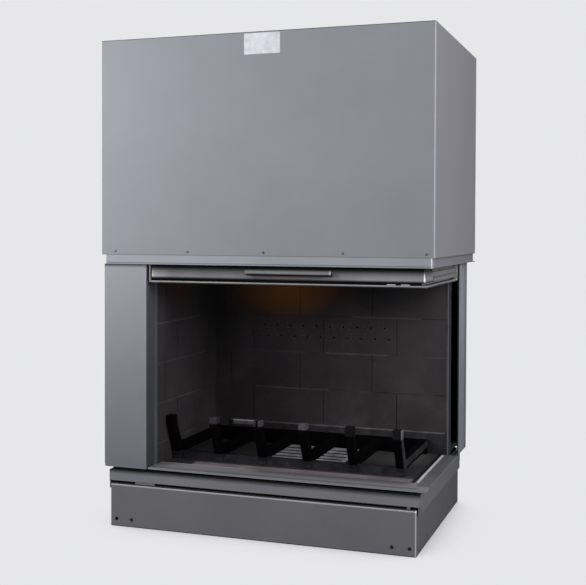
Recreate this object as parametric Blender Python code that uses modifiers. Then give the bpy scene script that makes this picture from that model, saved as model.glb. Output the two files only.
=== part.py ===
"""Fireplace firebox: a corner fireplace insert with a lift-up glass door, shown with the door raised.

Metres, +Z up. The front faces -Y. The origin is at the floor, under the middle of the bounding box.
"""

import math

import bmesh
import bpy
from mathutils import Matrix, Vector

# Driving dimensions of the whole object

CASING_WIDTH = 0.950
CASING_DEPTH = 0.626
CASING_HEADROOM = 0.084
HANDLE_PROUD = 0.010
DOOR_RISE = 0.516
PLINTH_HEIGHT = 0.120

# Sheet, clearances and cutting overrun

SHEET = 0.002
PLATE = 0.003
FIT_GAP = 0.0003
OVERRUN = 0.020

# Plinth

PLINTH_LEFT_INSET = 0.026
PLINTH_RIGHT_INSET = 0.0445
PLINTH_FRONT_INSET = 0.006
PLINTH_REAR_INSET = 0.024
PLINTH_FLANGE = 0.030
PLINTH_HOLE_RADIUS = 0.0055
PLINTH_HOLE_HEIGHT = 0.020
PLINTH_CORNER_HOLE = 0.017
PLINTH_SECOND_HOLE = 0.064
PLINTH_SIDE_FRONT_HOLE = 0.137
PLINTH_SIDE_REAR_HOLE = 0.438
PAD_HEIGHT = 0.0072
LEFT_PAD_WIDTH = 0.060
PAD_DEPTH = 0.020
LEFT_PAD_INSET = 0.074
RIGHT_PAD_INSET = 0.0175
RIGHT_PAD_WIDTH = 0.008
PLINTH_BEND = 0.0025

# Hearth frame, the band above the plinth

BAND_HEIGHT = 0.041
BAND_FRONT_INSET = 0.011
BAND_LEFT_INSET = 0.018
BAND_RIGHT_INSET = 0.0385
BAND_FLANGE = 0.0155
BAND_SIDE_DROP = 0.0225
BAND_STEP = 0.008
BAND_STEP_HEIGHT = 0.0105

# Landing in front of the fire, its raised lip and the air slot

LEDGE_THICKNESS = 0.0055
LEDGE_FRONT_INSET = 0.003
LEDGE_LEFT_CLEARANCE = 0.004
LEDGE_OVERHANG = 0.003
FRONT_LANDING = 0.070
SIDE_LANDING = 0.040
LEDGE_REAR_GAP = 0.027
LIP_THICKNESS = 0.004
LIP_RISE = 0.0015
LIP_REAR_GAP = 0.035
AIR_SLOT = 0.015

# Hearth floor

HEARTH_THICKNESS = 0.0356
GRATE_LENGTH = 0.240
GRATE_DEPTH = 0.200
GRATE_THICKNESS = 0.012
GRATE_LEFT = 0.251
GRATE_BACK = 0.0247
GRATE_CLEARANCE = 0.0005
GRATE_SLATS = 5
GRATE_SLOT = 0.015
GRATE_BORDER = 0.014
WELL_DEPTH = 0.110
WELL_FLANGE = 0.020
PAN_CLEARANCE = 0.001
PAN_HEIGHT = 0.080

# Column cover on the left

COLUMN_INSET = 0.009
COLUMN_WIDTH = 0.130
COLUMN_CORNER = 0.008
RETURN_NOTCH_FRONT = 0.008
RETURN_NOTCH_HEIGHT = 0.045

# Post at the right rear, with the slot that guides the side of the door

POST_INSET = 0.0225
POST_WIDTH = 0.032
POST_REAR_INSET = 0.0125
POST_REAR_ROOM = 0.0175
POST_LIP = 0.0095
SLIDE_CLEARANCE = 0.0008

# Fire chamber

CHAMBER_INSET = 0.009
SIDE_LINING = 0.030
BACK_LINING = 0.038
SHELL_RETURN_GAP = 0.001
COURSE_HEIGHT = 0.114
FIRST_COURSE = 0.059
BRICK_LENGTH = 0.2315
FIRST_BRICK = 0.130
BOND_SHIFT = 0.077
JOINT_WIDTH = 0.003
JOINT_DEPTH = 0.002
AIR_HOLE_RADIUS = 0.003
AIR_HOLE_PITCH = 0.0433
AIR_HOLE_LEFT = 0.165
AIR_HOLE_STAGGER = 0.0135
UPPER_HOLE_ROW = 0.369
LOWER_HOLE_ROW = 0.3355
AIR_HOLES = 10
LINTEL_LAP = 0.0094
LINTEL_HEIGHT = 0.070
LINTEL_FLANGE = 0.025
JAMB_LEG = 0.030
BAFFLE_THICKNESS = 0.030
BAFFLE_THROAT = 0.1375
FIRE_PLATE_HEIGHT = 0.0635
FIRE_PLATE_THICKNESS = 0.006
FIRE_PLATE_LEFT_GAP = 0.055

# Smoke hood and flue collar

HOOD_SKIRT = 0.080
FLUE_RADIUS = 0.100
FLUE_NECK_BELOW_TOP = 0.118
FLUE_BEAD = 0.004
FLUE_REACH = 0.028
FLUE_HOLE_GAP = 0.006

# Door

DOOR_LEFT_CLEARANCE = 0.0025
DOOR_FRONT_INSET = 0.008
DOOR_TOP_LAP = 0.044
FRAME_STRIP = 0.006
FRAME_DEPTH = 0.030
FRAME_CORNER = 0.007
FRAME_REAR_GAP = 0.007
STILE_WIDTH = 0.0175
STILE_DEPTH = 0.0467
SEAL_DIAMETER = 0.011
SEAL_CLEARANCE = 0.0012
GLASS_THICKNESS = 0.004
GLASS_CLEARANCE = 0.0005
RAIL_HEIGHT = 0.039
RAIL_DEPTH = 0.010
RAIL_ROLL = 0.006
RAIL_LIFT = 0.0065
RAIL_LEFT_GAP = 0.011
RAIL_RETURN = 0.102
RAIL_NOTCH = 0.005
SIDE_RAIL_STEP = 0.003
SIDE_RAIL_REAR_GAP = 0.0135
HANDLE_LENGTH = 0.2395
HANDLE_LEFT = 0.2955
HANDLE_HEIGHT = 0.014
HANDLE_THICKNESS = 0.011
HANDLE_LIFT = 0.0154
HANDLE_CHAMFER = 0.002
HANDLE_POST_RADIUS = 0.004
HANDLE_POST_INSET = 0.030

# Lifting gear

CARRIAGE_DROP = 0.034
CARRIAGE_HEIGHT = 0.064
CARRIAGE_ARM_DROP = 0.006
CARRIAGE_ARM_HEIGHT = 0.025
CARRIAGE_ARM_DEPTH = 0.016
RAIL_CHANNEL_WIDTH = 0.022
RAIL_CHANNEL_DEPTH = 0.032
GUIDE_TAIL = 0.010
GUIDE_TOP_GAP = 0.0077
ROPE_RADIUS = 0.002
PULLEY_PITCH_RADIUS = 0.030
PULLEY_FLANGE = 0.004
PULLEY_WIDTH = 0.012
GROOVE_MOUTH = 0.0042
GROOVE_ROOT = 0.0027
PULLEY_HEADROOM = 0.002
AXLE_RADIUS = 0.005
AXLE_CLEARANCE = 0.0004
BRACKET_PLATE = 0.003
BRACKET_SIDE_GAP = 0.003
BRACKET_LENGTH = 0.030
BRACKET_BELOW_AXLE = 0.012
LEFT_WEIGHT_WIDTH = 0.060
LEFT_WEIGHT_DEPTH = 0.050
LEFT_WEIGHT_HEIGHT = 0.440
REAR_WEIGHT_WIDTH = 0.023
REAR_WEIGHT_DEPTH = 0.080
REAR_WEIGHT_HEIGHT = 0.440
WEIGHT_CHAMFER = 0.003
WEIGHT_FLOOR_GAP = 0.030

# Covers

SKIRT_HEIGHT = 0.0256
SKIRT_LEFT_INSET = 0.014
SKIRT_RIGHT_INSET = 0.006
SKIRT_TONGUE = 0.022
SKIRT_TIP = 0.006
CASING_EDGE = 0.0018
REAR_COVER_LAP = 0.025
REAR_COVER_FLANGE = 0.030
UPRIGHT_LEG = 0.030

# Log grate

DOGS = 6
DOG_PITCH = 0.1335
DOG_WIDTH = 0.024
DOG_FOOT_DEPTH = 0.028
DOG_HEAD_DEPTH = 0.024
DOG_HEAD_HEIGHT = 0.024
DOG_HEIGHT = 0.1335
DOG_LEAN = 0.045
DOG_BEVEL = 0.002
LOG_GRATE_FRONT = 0.056
LOG_GRATE_LEFT = 0.003
FRONT_RAIL_HEIGHT = 0.021
FRONT_RAIL_DEPTH = 0.025
REAR_RAIL_HEIGHT = 0.042
REAR_RAIL_DEPTH = 0.015
LOG_GRATE_REAR_GAP = 0.002
BAR_HEIGHT = 0.025
BAR_WIDTH = 0.022

# Fineness of round forms, in sides

HOLE_SIDES = 8
ROPE_SIDES = 8
AXLE_SIDES = 16
PULLEY_SIDES = 32
FLUE_SIDES = 48
BEND_STEPS = 16
CORNER_STEPS = 5

# Planes worked out from the sizes above

LEFT = -CASING_WIDTH / 2
RIGHT = CASING_WIDTH / 2
FRONT = HANDLE_PROUD - (CASING_DEPTH + HANDLE_PROUD) / 2
REAR = FRONT + CASING_DEPTH

PLINTH_LEFT = LEFT + PLINTH_LEFT_INSET
PLINTH_RIGHT = RIGHT - PLINTH_RIGHT_INSET
PLINTH_FRONT = FRONT + PLINTH_FRONT_INSET
PLINTH_REAR = REAR - PLINTH_REAR_INSET

BAND_LEFT = LEFT + BAND_LEFT_INSET
BAND_RIGHT = RIGHT - BAND_RIGHT_INSET
BAND_FRONT = FRONT + BAND_FRONT_INSET
BAND_REAR = PLINTH_REAR
BAND_BOTTOM = PLINTH_HEIGHT + PAD_HEIGHT + FIT_GAP
BAND_TOP = BAND_BOTTOM + BAND_HEIGHT
STANDING_LEVEL = BAND_TOP + FIT_GAP

LEDGE_TOP = STANDING_LEVEL + LEDGE_THICKNESS
DOOR_BOTTOM = LEDGE_TOP + FIT_GAP + DOOR_RISE
DOOR_HEIGHT = DOOR_RISE + DOOR_TOP_LAP
DOOR_TOP = DOOR_BOTTOM + DOOR_HEIGHT
RAIL_BOTTOM = DOOR_BOTTOM + FRAME_STRIP + RAIL_LIFT
RAIL_TOP = RAIL_BOTTOM + RAIL_HEIGHT
SKIRT_BOTTOM = RAIL_TOP + FIT_GAP
COLUMN_TOP = SKIRT_BOTTOM - FIT_GAP
CASING_BOTTOM = SKIRT_BOTTOM + SKIRT_HEIGHT
CASING_HEIGHT = DOOR_RISE + CASING_HEADROOM
CASING_TOP = CASING_BOTTOM + CASING_HEIGHT
CASING_CEILING = CASING_TOP - SHEET

COLUMN_LEFT = LEFT + COLUMN_INSET
COLUMN_RIGHT = COLUMN_LEFT + COLUMN_WIDTH
POST_RIGHT = RIGHT - POST_INSET
POST_LEFT = POST_RIGHT - POST_WIDTH
POST_REAR = REAR - POST_REAR_INSET
STILE_BEHIND = STILE_DEPTH - FRAME_REAR_GAP + FIT_GAP
ROPE_BEHIND = (SHEET + STILE_BEHIND) / 2
WEIGHT_BEHIND = ROPE_BEHIND + 2 * PULLEY_PITCH_RADIUS
POST_DEPTH = WEIGHT_BEHIND + REAR_WEIGHT_DEPTH / 2 + POST_REAR_ROOM + SHEET
SLOT_RIGHT = POST_RIGHT - SHEET
SLOT_LEFT = POST_LEFT + POST_LIP

DOOR_LEFT = COLUMN_RIGHT + DOOR_LEFT_CLEARANCE
DOOR_RIGHT = SLOT_RIGHT - SLIDE_CLEARANCE
DOOR_FRONT = FRONT + DOOR_FRONT_INSET
DOOR_REAR = DOOR_FRONT + FRAME_DEPTH
DOOR_INNER_SIDE = DOOR_RIGHT - FRAME_DEPTH
SEAL_ZONE = FIT_GAP + SEAL_DIAMETER + SEAL_CLEARANCE
JAMB_FRONT = DOOR_REAR + SEAL_ZONE
LINTEL_RIGHT = DOOR_INNER_SIDE - SEAL_ZONE
LINTEL_BOTTOM = DOOR_BOTTOM + LINTEL_LAP
LINTEL_TOP = LINTEL_BOTTOM + LINTEL_HEIGHT

CHAMBER_LEFT = COLUMN_RIGHT + CHAMBER_INSET
CHAMBER_DEPTH = CASING_DEPTH - POST_REAR_INSET - POST_DEPTH
CHAMBER_BACK = FRONT + CHAMBER_DEPTH
SHELL_LEFT = CHAMBER_LEFT - SIDE_LINING - FIT_GAP - PLATE
SHELL_BACK = CHAMBER_BACK + BACK_LINING + FIT_GAP + PLATE
SHELL_RIGHT = POST_LEFT - SHELL_RETURN_GAP
LINING_RIGHT = SHELL_RIGHT - PLATE - SHELL_RETURN_GAP

LEDGE_FRONT = FRONT + LEDGE_FRONT_INSET
LEDGE_LEFT = COLUMN_RIGHT + LEDGE_LEFT_CLEARANCE
LEDGE_RIGHT = POST_RIGHT + LEDGE_OVERHANG
LEDGE_REAR = CHAMBER_BACK - LEDGE_REAR_GAP
LEDGE_INNER_FRONT = LEDGE_FRONT + FRONT_LANDING
LEDGE_INNER_SIDE = LEDGE_RIGHT - SIDE_LANDING
LIP_FRONT = LEDGE_INNER_FRONT + FIT_GAP
LIP_SIDE = LEDGE_INNER_SIDE - FIT_GAP
HEARTH_FRONT = LIP_FRONT + LIP_THICKNESS + AIR_SLOT
HEARTH_RIGHT = LIP_SIDE - LIP_THICKNESS - AIR_SLOT

CARRIER_BOTTOM = BAND_BOTTOM + PLATE + FIT_GAP
CARRIER_TOP = CARRIER_BOTTOM + SHEET
HEARTH_BOTTOM = CARRIER_TOP + FIT_GAP + SHEET + FIT_GAP
HEARTH_TOP = HEARTH_BOTTOM + HEARTH_THICKNESS
HEARTH_LEFT = CHAMBER_LEFT + FIT_GAP
LINING_BOTTOM = CARRIER_TOP + FIT_GAP
FLOOR_REST = HEARTH_TOP + FIT_GAP

GRATE_X = (CHAMBER_LEFT + GRATE_LEFT, CHAMBER_LEFT + GRATE_LEFT + GRATE_LENGTH)
GRATE_Y = (CHAMBER_BACK - GRATE_BACK - GRATE_DEPTH, CHAMBER_BACK - GRATE_BACK)
GRATE_BOTTOM = HEARTH_TOP - GRATE_THICKNESS
WELL_TOP = GRATE_BOTTOM - FIT_GAP
WELL_BOTTOM = WELL_TOP - WELL_DEPTH

FIRE_PLATE_FRONT = CHAMBER_BACK - FIT_GAP - FIRE_PLATE_THICKNESS
BOARD_SPLIT = HEARTH_TOP + FIRST_COURSE + 2 * COURSE_HEIGHT
LINING_TOP = LINTEL_BOTTOM + PLATE

HOOD_BOTTOM = LINTEL_TOP + FIT_GAP
NECK_BOTTOM = CASING_TOP - FLUE_NECK_BELOW_TOP
FLUE_TOP = CASING_TOP + FLUE_REACH
FLUE_X = (SHELL_LEFT + LINTEL_RIGHT) / 2
FLUE_Y = (JAMB_FRONT + SHELL_BACK) / 2

PULLEY_RADIUS = PULLEY_PITCH_RADIUS + PULLEY_FLANGE
BRACKET_TOP = CASING_CEILING - FIT_GAP
PULLEY_Z = BRACKET_TOP - BRACKET_PLATE - PULLEY_HEADROOM - PULLEY_RADIUS
GUIDE_TOP = PULLEY_Z - PULLEY_RADIUS - GUIDE_TOP_GAP
ROPE_FIXED_Z = PULLEY_Z - FIT_GAP
CARRIAGE_BOTTOM = DOOR_TOP - CARRIAGE_DROP
CARRIAGE_TOP = CARRIAGE_BOTTOM + CARRIAGE_HEIGHT
GUIDE_BOTTOM = CARRIAGE_BOTTOM - DOOR_RISE - GUIDE_TAIL
CHANNEL_RIGHT = COLUMN_RIGHT - SHEET - FIT_GAP
CHANNEL_LEFT = CHANNEL_RIGHT - RAIL_CHANNEL_WIDTH
CHANNEL_REAR = JAMB_FRONT - FIT_GAP
CHANNEL_FRONT = CHANNEL_REAR - RAIL_CHANNEL_DEPTH
LEFT_ROPE_X = (CHANNEL_LEFT + SHEET + CHANNEL_RIGHT) / 2
LEFT_ROPE_Y = (CHANNEL_FRONT + CHANNEL_REAR) / 2
LEFT_PULLEY_X = LEFT_ROPE_X - PULLEY_PITCH_RADIUS
LEFT_WEIGHT_X = LEFT_PULLEY_X - PULLEY_PITCH_RADIUS
STILE_LEFT = DOOR_RIGHT - FIT_GAP - STILE_WIDTH
STILE_FRONT = CHAMBER_BACK - FRAME_REAR_GAP + FIT_GAP
STILE_REAR = CHAMBER_BACK + STILE_BEHIND
REAR_ROPE_X = (POST_LEFT + SHEET + SLOT_RIGHT) / 2
REAR_ROPE_Y = CHAMBER_BACK + ROPE_BEHIND
REAR_PULLEY_Y = REAR_ROPE_Y + PULLEY_PITCH_RADIUS
REAR_WEIGHT_Y = CHAMBER_BACK + WEIGHT_BEHIND
WEIGHT_BOTTOM = STANDING_LEVEL + WEIGHT_FLOOR_GAP

# Colours, roughness and metallic values of the materials

FINISHES = {
    "steel_grey": ((0.36, 0.36, 0.38), 0.42, 0.6),
    "dark_steel": ((0.13, 0.13, 0.14), 0.5, 0.5),
    "bright_steel": ((0.62, 0.62, 0.64), 0.3, 0.9),
    "chamotte": ((0.085, 0.078, 0.08), 0.9, 0.0),
    "cast_iron": ((0.06, 0.06, 0.066), 0.6, 0.6),
    "grate_iron": ((0.42, 0.42, 0.43), 0.45, 0.6),
    "glass": ((0.55, 0.6, 0.6), 0.05, 0.0),
    "rope_seal": ((0.11, 0.11, 0.11), 0.95, 0.0),
}

# Scene and collections


def clear_scene():
    """Removes what the file holds, so that only the object stays."""
    for old in list(bpy.data.objects):
        bpy.data.objects.remove(old, do_unlink=True)


def collection(name):
    """A new collection under the scene."""
    made = bpy.data.collections.new(name)
    bpy.context.scene.collection.children.link(made)
    return made


def finish(name):
    """The material of this name, made on first use."""
    found = bpy.data.materials.get(name)
    if found:
        return found
    colour, roughness, metallic = FINISHES[name]
    made = bpy.data.materials.new(name)
    made.use_nodes = True
    shader = made.node_tree.nodes["Principled BSDF"]
    shader.inputs["Base Color"].default_value = (*colour, 1.0)
    shader.inputs["Roughness"].default_value = roughness
    shader.inputs["Metallic"].default_value = metallic
    made.diffuse_color = (*colour, 1.0)
    return made


clear_scene()
PARTS = collection("fireplace_firebox")
CUTTERS = collection("cutters")


def keep(name, mesh, material):
    """Puts a finished mesh among the parts."""
    piece = bpy.data.objects.new(name, mesh)
    PARTS.objects.link(piece)
    mesh.materials.append(finish(material))
    return piece


def as_cutter(piece):
    """Moves a shape among the cutters, where it is drawn as wire and left out of the object."""
    PARTS.objects.unlink(piece)
    CUTTERS.objects.link(piece)
    piece.hide_render = True
    piece.display_type = "WIRE"
    return piece


# Shapes


def add_block(bm, x, y, z):
    """Adds a box between two places on each axis."""
    size = Vector((x[1] - x[0], y[1] - y[0], z[1] - z[0]))
    centre = Vector((x[0] + x[1], y[0] + y[1], z[0] + z[1])) / 2
    matrix = Matrix.Translation(centre) @ Matrix.Diagonal((*size, 1.0))
    bmesh.ops.create_cube(bm, size=1.0, matrix=matrix)


def mesh_from(name, bm):
    """Closes a bmesh into a named mesh."""
    bmesh.ops.recalc_face_normals(bm, faces=bm.faces)
    mesh = bpy.data.meshes.new(name)
    bm.to_mesh(mesh)
    bm.free()
    return mesh


def block(name, x, y, z, material):
    """One box."""
    bm = bmesh.new()
    add_block(bm, x, y, z)
    return keep(name, mesh_from(name, bm), material)


def blocks(name, spans, material):
    """Boxes that stay apart, for use as one cutter or one joined shape."""
    bm = bmesh.new()
    for x, y, z in spans:
        add_block(bm, x, y, z)
    return keep(name, mesh_from(name, bm), material)


AXIS_FRAMES = {
    "x": Matrix(((0, 0, 1), (1, 0, 0), (0, 1, 0))),
    "y": Matrix(((1, 0, 0), (0, 0, -1), (0, 1, 0))),
    "z": Matrix(((1, 0, 0), (0, 1, 0), (0, 0, 1))),
}
AXIS_VECTORS = {"x": Vector((1, 0, 0)), "y": Vector((0, 1, 0)), "z": Vector((0, 0, 1))}


def mesh_of_curve(name, curve_object):
    """The mesh of a curve, with its caps welded on, and the curve removed."""
    bpy.context.scene.collection.objects.link(curve_object)
    bpy.context.view_layer.update()
    evaluated = curve_object.evaluated_get(bpy.context.evaluated_depsgraph_get())
    mesh = bpy.data.meshes.new_from_object(evaluated)
    mesh.name = name
    mesh.transform(curve_object.matrix_world)
    bm = bmesh.new()
    bm.from_mesh(mesh)
    bmesh.ops.remove_doubles(bm, verts=bm.verts, dist=FIT_GAP / 30)
    bmesh.ops.recalc_face_normals(bm, faces=bm.faces)
    bm.to_mesh(mesh)
    bm.free()
    mesh.materials.clear()
    bpy.data.objects.remove(curve_object)
    return mesh


def prism(name, outline, axis, span, material):
    """A flat outline across an axis, drawn out along it between two places."""
    curve = bpy.data.curves.new(name, "CURVE")
    curve.dimensions = "2D"
    curve.fill_mode = "BOTH"
    curve.extrude = (span[1] - span[0]) / 2
    spline = curve.splines.new("POLY")
    spline.points.add(len(outline) - 1)
    for point, (across, up) in zip(spline.points, outline):
        point.co = (across, up, 0, 1)
    spline.use_cyclic_u = True
    shape = bpy.data.objects.new(name, curve)
    middle = AXIS_VECTORS[axis] * (span[0] + span[1]) / 2
    shape.matrix_world = Matrix.Translation(middle) @ AXIS_FRAMES[axis].to_4x4()
    return keep(name, mesh_of_curve(name, shape), material)


def sweep(name, section, path, closed, material):
    """A section of (inward, height) points carried along a mitred path in plan.

    Inward is to the left of the way that the path runs.
    """
    bm = bmesh.new()
    count = len(path)
    rings = []
    for i, here in enumerate(path):
        here = Vector(here)
        before = Vector(path[i - 1]) if i or closed else None
        after = Vector(path[(i + 1) % count]) if i < count - 1 or closed else None
        ways = []
        if before is not None:
            ways.append((here - before).normalized())
        if after is not None:
            ways.append((after - here).normalized())
        sides = [Vector((-way.y, way.x)) for way in ways]
        mitre = sum(sides, Vector((0, 0))).normalized()
        mitre /= mitre.dot(sides[0])
        rings.append([bm.verts.new((*(here + mitre * inward), height)) for inward, height in section])
    pairs = list(zip(rings, rings[1:]))
    if closed:
        pairs.append((rings[-1], rings[0]))
    else:
        bm.faces.new(rings[0])
        bm.faces.new(rings[-1])
    for ring, following in pairs:
        edges = []
        for loop in (ring, following):
            for a, b in zip(loop, loop[1:] + loop[:1]):
                edges.append(bm.edges.get((a, b)) or bm.edges.new((a, b)))
        bmesh.ops.bridge_loops(bm, edges=edges)
    return keep(name, mesh_from(name, bm), material)


def turned(name, profile, axis, centre, sides, material):
    """A closed profile of (radius, along) points turned round an axis."""
    bm = bmesh.new()
    verts = [bm.verts.new((radius, 0, along)) for radius, along in profile]
    for a, b in zip(verts, verts[1:] + verts[:1]):
        bm.edges.new((a, b))
    mesh = bpy.data.meshes.new(name)
    bm.to_mesh(mesh)
    bm.free()
    piece = keep(name, mesh, material)
    screw = piece.modifiers.new("turn", "SCREW")
    screw.steps = sides
    screw.render_steps = sides
    screw.use_merge_vertices = True
    screw.merge_threshold = FIT_GAP / 30
    turn = Vector((0, 0, 1)).rotation_difference(AXIS_VECTORS[axis])
    piece.rotation_euler = turn.to_euler()
    piece.location = centre
    return piece


def rod(bm, radius, start, end, sides):
    """Adds a round bar between two places."""
    start = Vector(start)
    end = Vector(end)
    way = end - start
    turn = Vector((0, 0, 1)).rotation_difference(way).to_matrix().to_4x4()
    matrix = Matrix.Translation((start + end) / 2) @ turn
    bmesh.ops.create_cone(
        bm,
        cap_ends=True,
        segments=sides,
        radius1=radius,
        radius2=radius,
        depth=way.length,
        matrix=matrix,
    )


def rods(name, radius, ends, sides, material):
    """Round bars that stay apart, for use as one cutter or one joined shape."""
    bm = bmesh.new()
    for start, end in ends:
        rod(bm, radius, start, end, sides)
    return keep(name, mesh_from(name, bm), material)


def tube(name, points, radius, material):
    """A round bar or rope along a row of points."""
    curve = bpy.data.curves.new(name, "CURVE")
    curve.dimensions = "3D"
    curve.bevel_depth = radius
    curve.bevel_resolution = ROPE_SIDES // 4
    curve.use_fill_caps = True
    spline = curve.splines.new("POLY")
    spline.points.add(len(points) - 1)
    for point, place in zip(spline.points, points):
        point.co = (*place, 1)
    return keep(name, mesh_of_curve(name, bpy.data.objects.new(name, curve)), material)


def combine(piece, other, operation):
    """Cuts another shape out of a piece, joins it on, or keeps what the two share."""
    boolean = piece.modifiers.new(other.name, "BOOLEAN")
    boolean.operation = operation
    boolean.solver = "EXACT"
    boolean.object = as_cutter(other)
    return piece


def cut(piece, other):
    """Cuts another shape out of a piece."""
    return combine(piece, other, "DIFFERENCE")


def join(piece, other):
    """Joins another shape on."""
    return combine(piece, other, "UNION")


def bevel(piece, width, segments=1):
    """Rounds or chamfers the sharp edges of a piece."""
    modifier = piece.modifiers.new("edges", "BEVEL")
    modifier.width = width
    modifier.segments = segments
    modifier.limit_method = "ANGLE"
    modifier.angle_limit = math.radians(50)
    return piece


def smooth(piece):
    """Shades the round faces of a piece smooth and leaves its edges sharp."""
    piece.data.shade_smooth()
    piece.data.set_sharp_from_angle(angle=math.radians(40))
    return piece


def arc(centre, radius, start, end, steps):
    """Points on an arc in a plane, its angles in degrees."""
    angles = [math.radians(start + (end - start) * i / steps) for i in range(steps + 1)]
    return [(centre[0] + radius * math.cos(a), centre[1] + radius * math.sin(a)) for a in angles]


def carried_by(empty, pieces):
    """Parents pieces to an empty and leaves them where they stand."""
    bpy.context.view_layer.update()
    for piece in pieces:
        piece.parent = empty
        piece.matrix_parent_inverse = empty.matrix_world.inverted()


def joint_empty(name, place):
    """An empty on a joint's axis."""
    empty = bpy.data.objects.new(name, None)
    empty.location = place
    PARTS.objects.link(empty)
    return empty


# Plinth


def folded_wall(height, flange):
    """Section of an upright sheet with its top folded inward."""
    return [
        (0, 0),
        (PLATE, 0),
        (PLATE, height - PLATE),
        (flange, height - PLATE),
        (flange, height),
        *arc((PLINTH_BEND, height - PLINTH_BEND), PLINTH_BEND, 90, 180, CORNER_STEPS),
    ]


def plinth_pads(name, y):
    """Pads on the top of the plinth that carry the hearth frame."""
    left = PLINTH_LEFT + LEFT_PAD_INSET
    right = PLINTH_RIGHT - RIGHT_PAD_INSET
    z = (PLINTH_HEIGHT - PLATE / 2, PLINTH_HEIGHT + PAD_HEIGHT)
    spans = [((left, left + LEFT_PAD_WIDTH), y, z), ((right - RIGHT_PAD_WIDTH, right), y, z)]
    return blocks(name, spans, "steel_grey")


def make_plinth():
    section = folded_wall(PLINTH_HEIGHT, PLINTH_FLANGE)
    inner_left = PLINTH_LEFT + PLATE + FIT_GAP
    inner_right = PLINTH_RIGHT - PLATE - FIT_GAP

    front = prism(
        "plinth_front",
        [(PLINTH_FRONT + inward, height) for inward, height in section],
        "x",
        (PLINTH_LEFT, PLINTH_RIGHT),
        "steel_grey",
    )
    hole_places = [
        PLINTH_LEFT + PLINTH_CORNER_HOLE,
        PLINTH_LEFT + PLINTH_SECOND_HOLE,
        PLINTH_RIGHT - PLINTH_SECOND_HOLE,
        PLINTH_RIGHT - PLINTH_CORNER_HOLE,
    ]
    holes = [
        (
            (x, PLINTH_FRONT - OVERRUN, PLINTH_HOLE_HEIGHT),
            (x, PLINTH_FRONT + PLATE + FIT_GAP, PLINTH_HOLE_HEIGHT),
        )
        for x in hole_places
    ]
    cut(front, rods("plinth_front_holes", PLINTH_HOLE_RADIUS, holes, AXLE_SIDES, "steel_grey"))
    front_pad_y = (PLINTH_FRONT + PLATE, PLINTH_FRONT + PLATE + PAD_DEPTH)
    join(front, plinth_pads("plinth_front_pads", front_pad_y))

    prism(
        "plinth_rear",
        [(PLINTH_REAR - inward, height) for inward, height in section],
        "x",
        (inner_left, inner_right),
        "steel_grey",
    )
    rear_pad_y = (PLINTH_REAR - PLATE - PAD_DEPTH, PLINTH_REAR - PLATE)
    join(bpy.data.objects["plinth_rear"], plinth_pads("plinth_rear_pads", rear_pad_y))

    wall_y = (PLINTH_FRONT + PLATE + FIT_GAP, PLINTH_REAR)
    flange_y = (PLINTH_FRONT + PLINTH_FLANGE + FIT_GAP, PLINTH_REAR - PLINTH_FLANGE - FIT_GAP)
    for name, face, inward in (("plinth_left", PLINTH_LEFT, 1), ("plinth_right", PLINTH_RIGHT, -1)):
        wall = prism(
            name,
            [(face + inward * depth, height) for depth, height in section],
            "y",
            wall_y,
            "steel_grey",
        )
        beyond = face + inward * (PLINTH_FLANGE + OVERRUN)
        under_flange = PLINTH_HEIGHT - PLATE - FIT_GAP
        above = PLINTH_HEIGHT + OVERRUN
        front_x = sorted((face - inward * OVERRUN, beyond))
        rear_x = sorted((face + inward * (PLATE + FIT_GAP / 2), beyond))
        ends = [
            (front_x, (wall_y[0] - OVERRUN, flange_y[0]), (under_flange, above)),
            (rear_x, (flange_y[1], wall_y[1] + OVERRUN), (under_flange, above)),
        ]
        cut(wall, blocks(name + "_ends", ends, "steel_grey"))
        side_holes = [
            ((face - OVERRUN, y, PLINTH_HOLE_HEIGHT), (face + OVERRUN, y, PLINTH_HOLE_HEIGHT))
            for y in (PLINTH_FRONT + PLINTH_SIDE_FRONT_HOLE, PLINTH_FRONT + PLINTH_SIDE_REAR_HOLE)
        ]
        cut(wall, rods(name + "_holes", PLINTH_HOLE_RADIUS, side_holes, AXLE_SIDES, "steel_grey"))


# Hearth frame, floor carrier and landing


def make_hearth_frame():
    step = BAND_TOP - BAND_STEP_HEIGHT
    section = [
        (0, BAND_BOTTOM),
        (BAND_FLANGE, BAND_BOTTOM),
        (BAND_FLANGE, BAND_BOTTOM + PLATE),
        (PLATE, BAND_BOTTOM + PLATE),
        (PLATE, step - PLATE),
        (BAND_STEP + PLATE, step - PLATE),
        (BAND_STEP + PLATE, BAND_TOP - PLATE),
        (BAND_FLANGE, BAND_TOP - PLATE),
        (BAND_FLANGE, BAND_TOP),
        (BAND_STEP, BAND_TOP),
        (BAND_STEP, step),
        (0, step),
    ]
    path = [
        (BAND_LEFT, BAND_FRONT),
        (BAND_RIGHT, BAND_FRONT),
        (BAND_RIGHT, BAND_REAR),
        (BAND_LEFT, BAND_REAR),
    ]
    frame = sweep("hearth_frame", section, path, True, "steel_grey")
    y = (BAND_FRONT + PLATE / 2, BAND_REAR - PLATE / 2)
    z = (BAND_BOTTOM - BAND_SIDE_DROP, BAND_BOTTOM + PLATE / 2)
    drops = [
        ((BAND_LEFT + FIT_GAP, BAND_LEFT + FIT_GAP + SHEET), y, z),
        ((BAND_RIGHT - FIT_GAP - SHEET, BAND_RIGHT - FIT_GAP), y, z),
    ]
    join(frame, blocks("hearth_frame_drops", drops, "steel_grey"))


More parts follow.
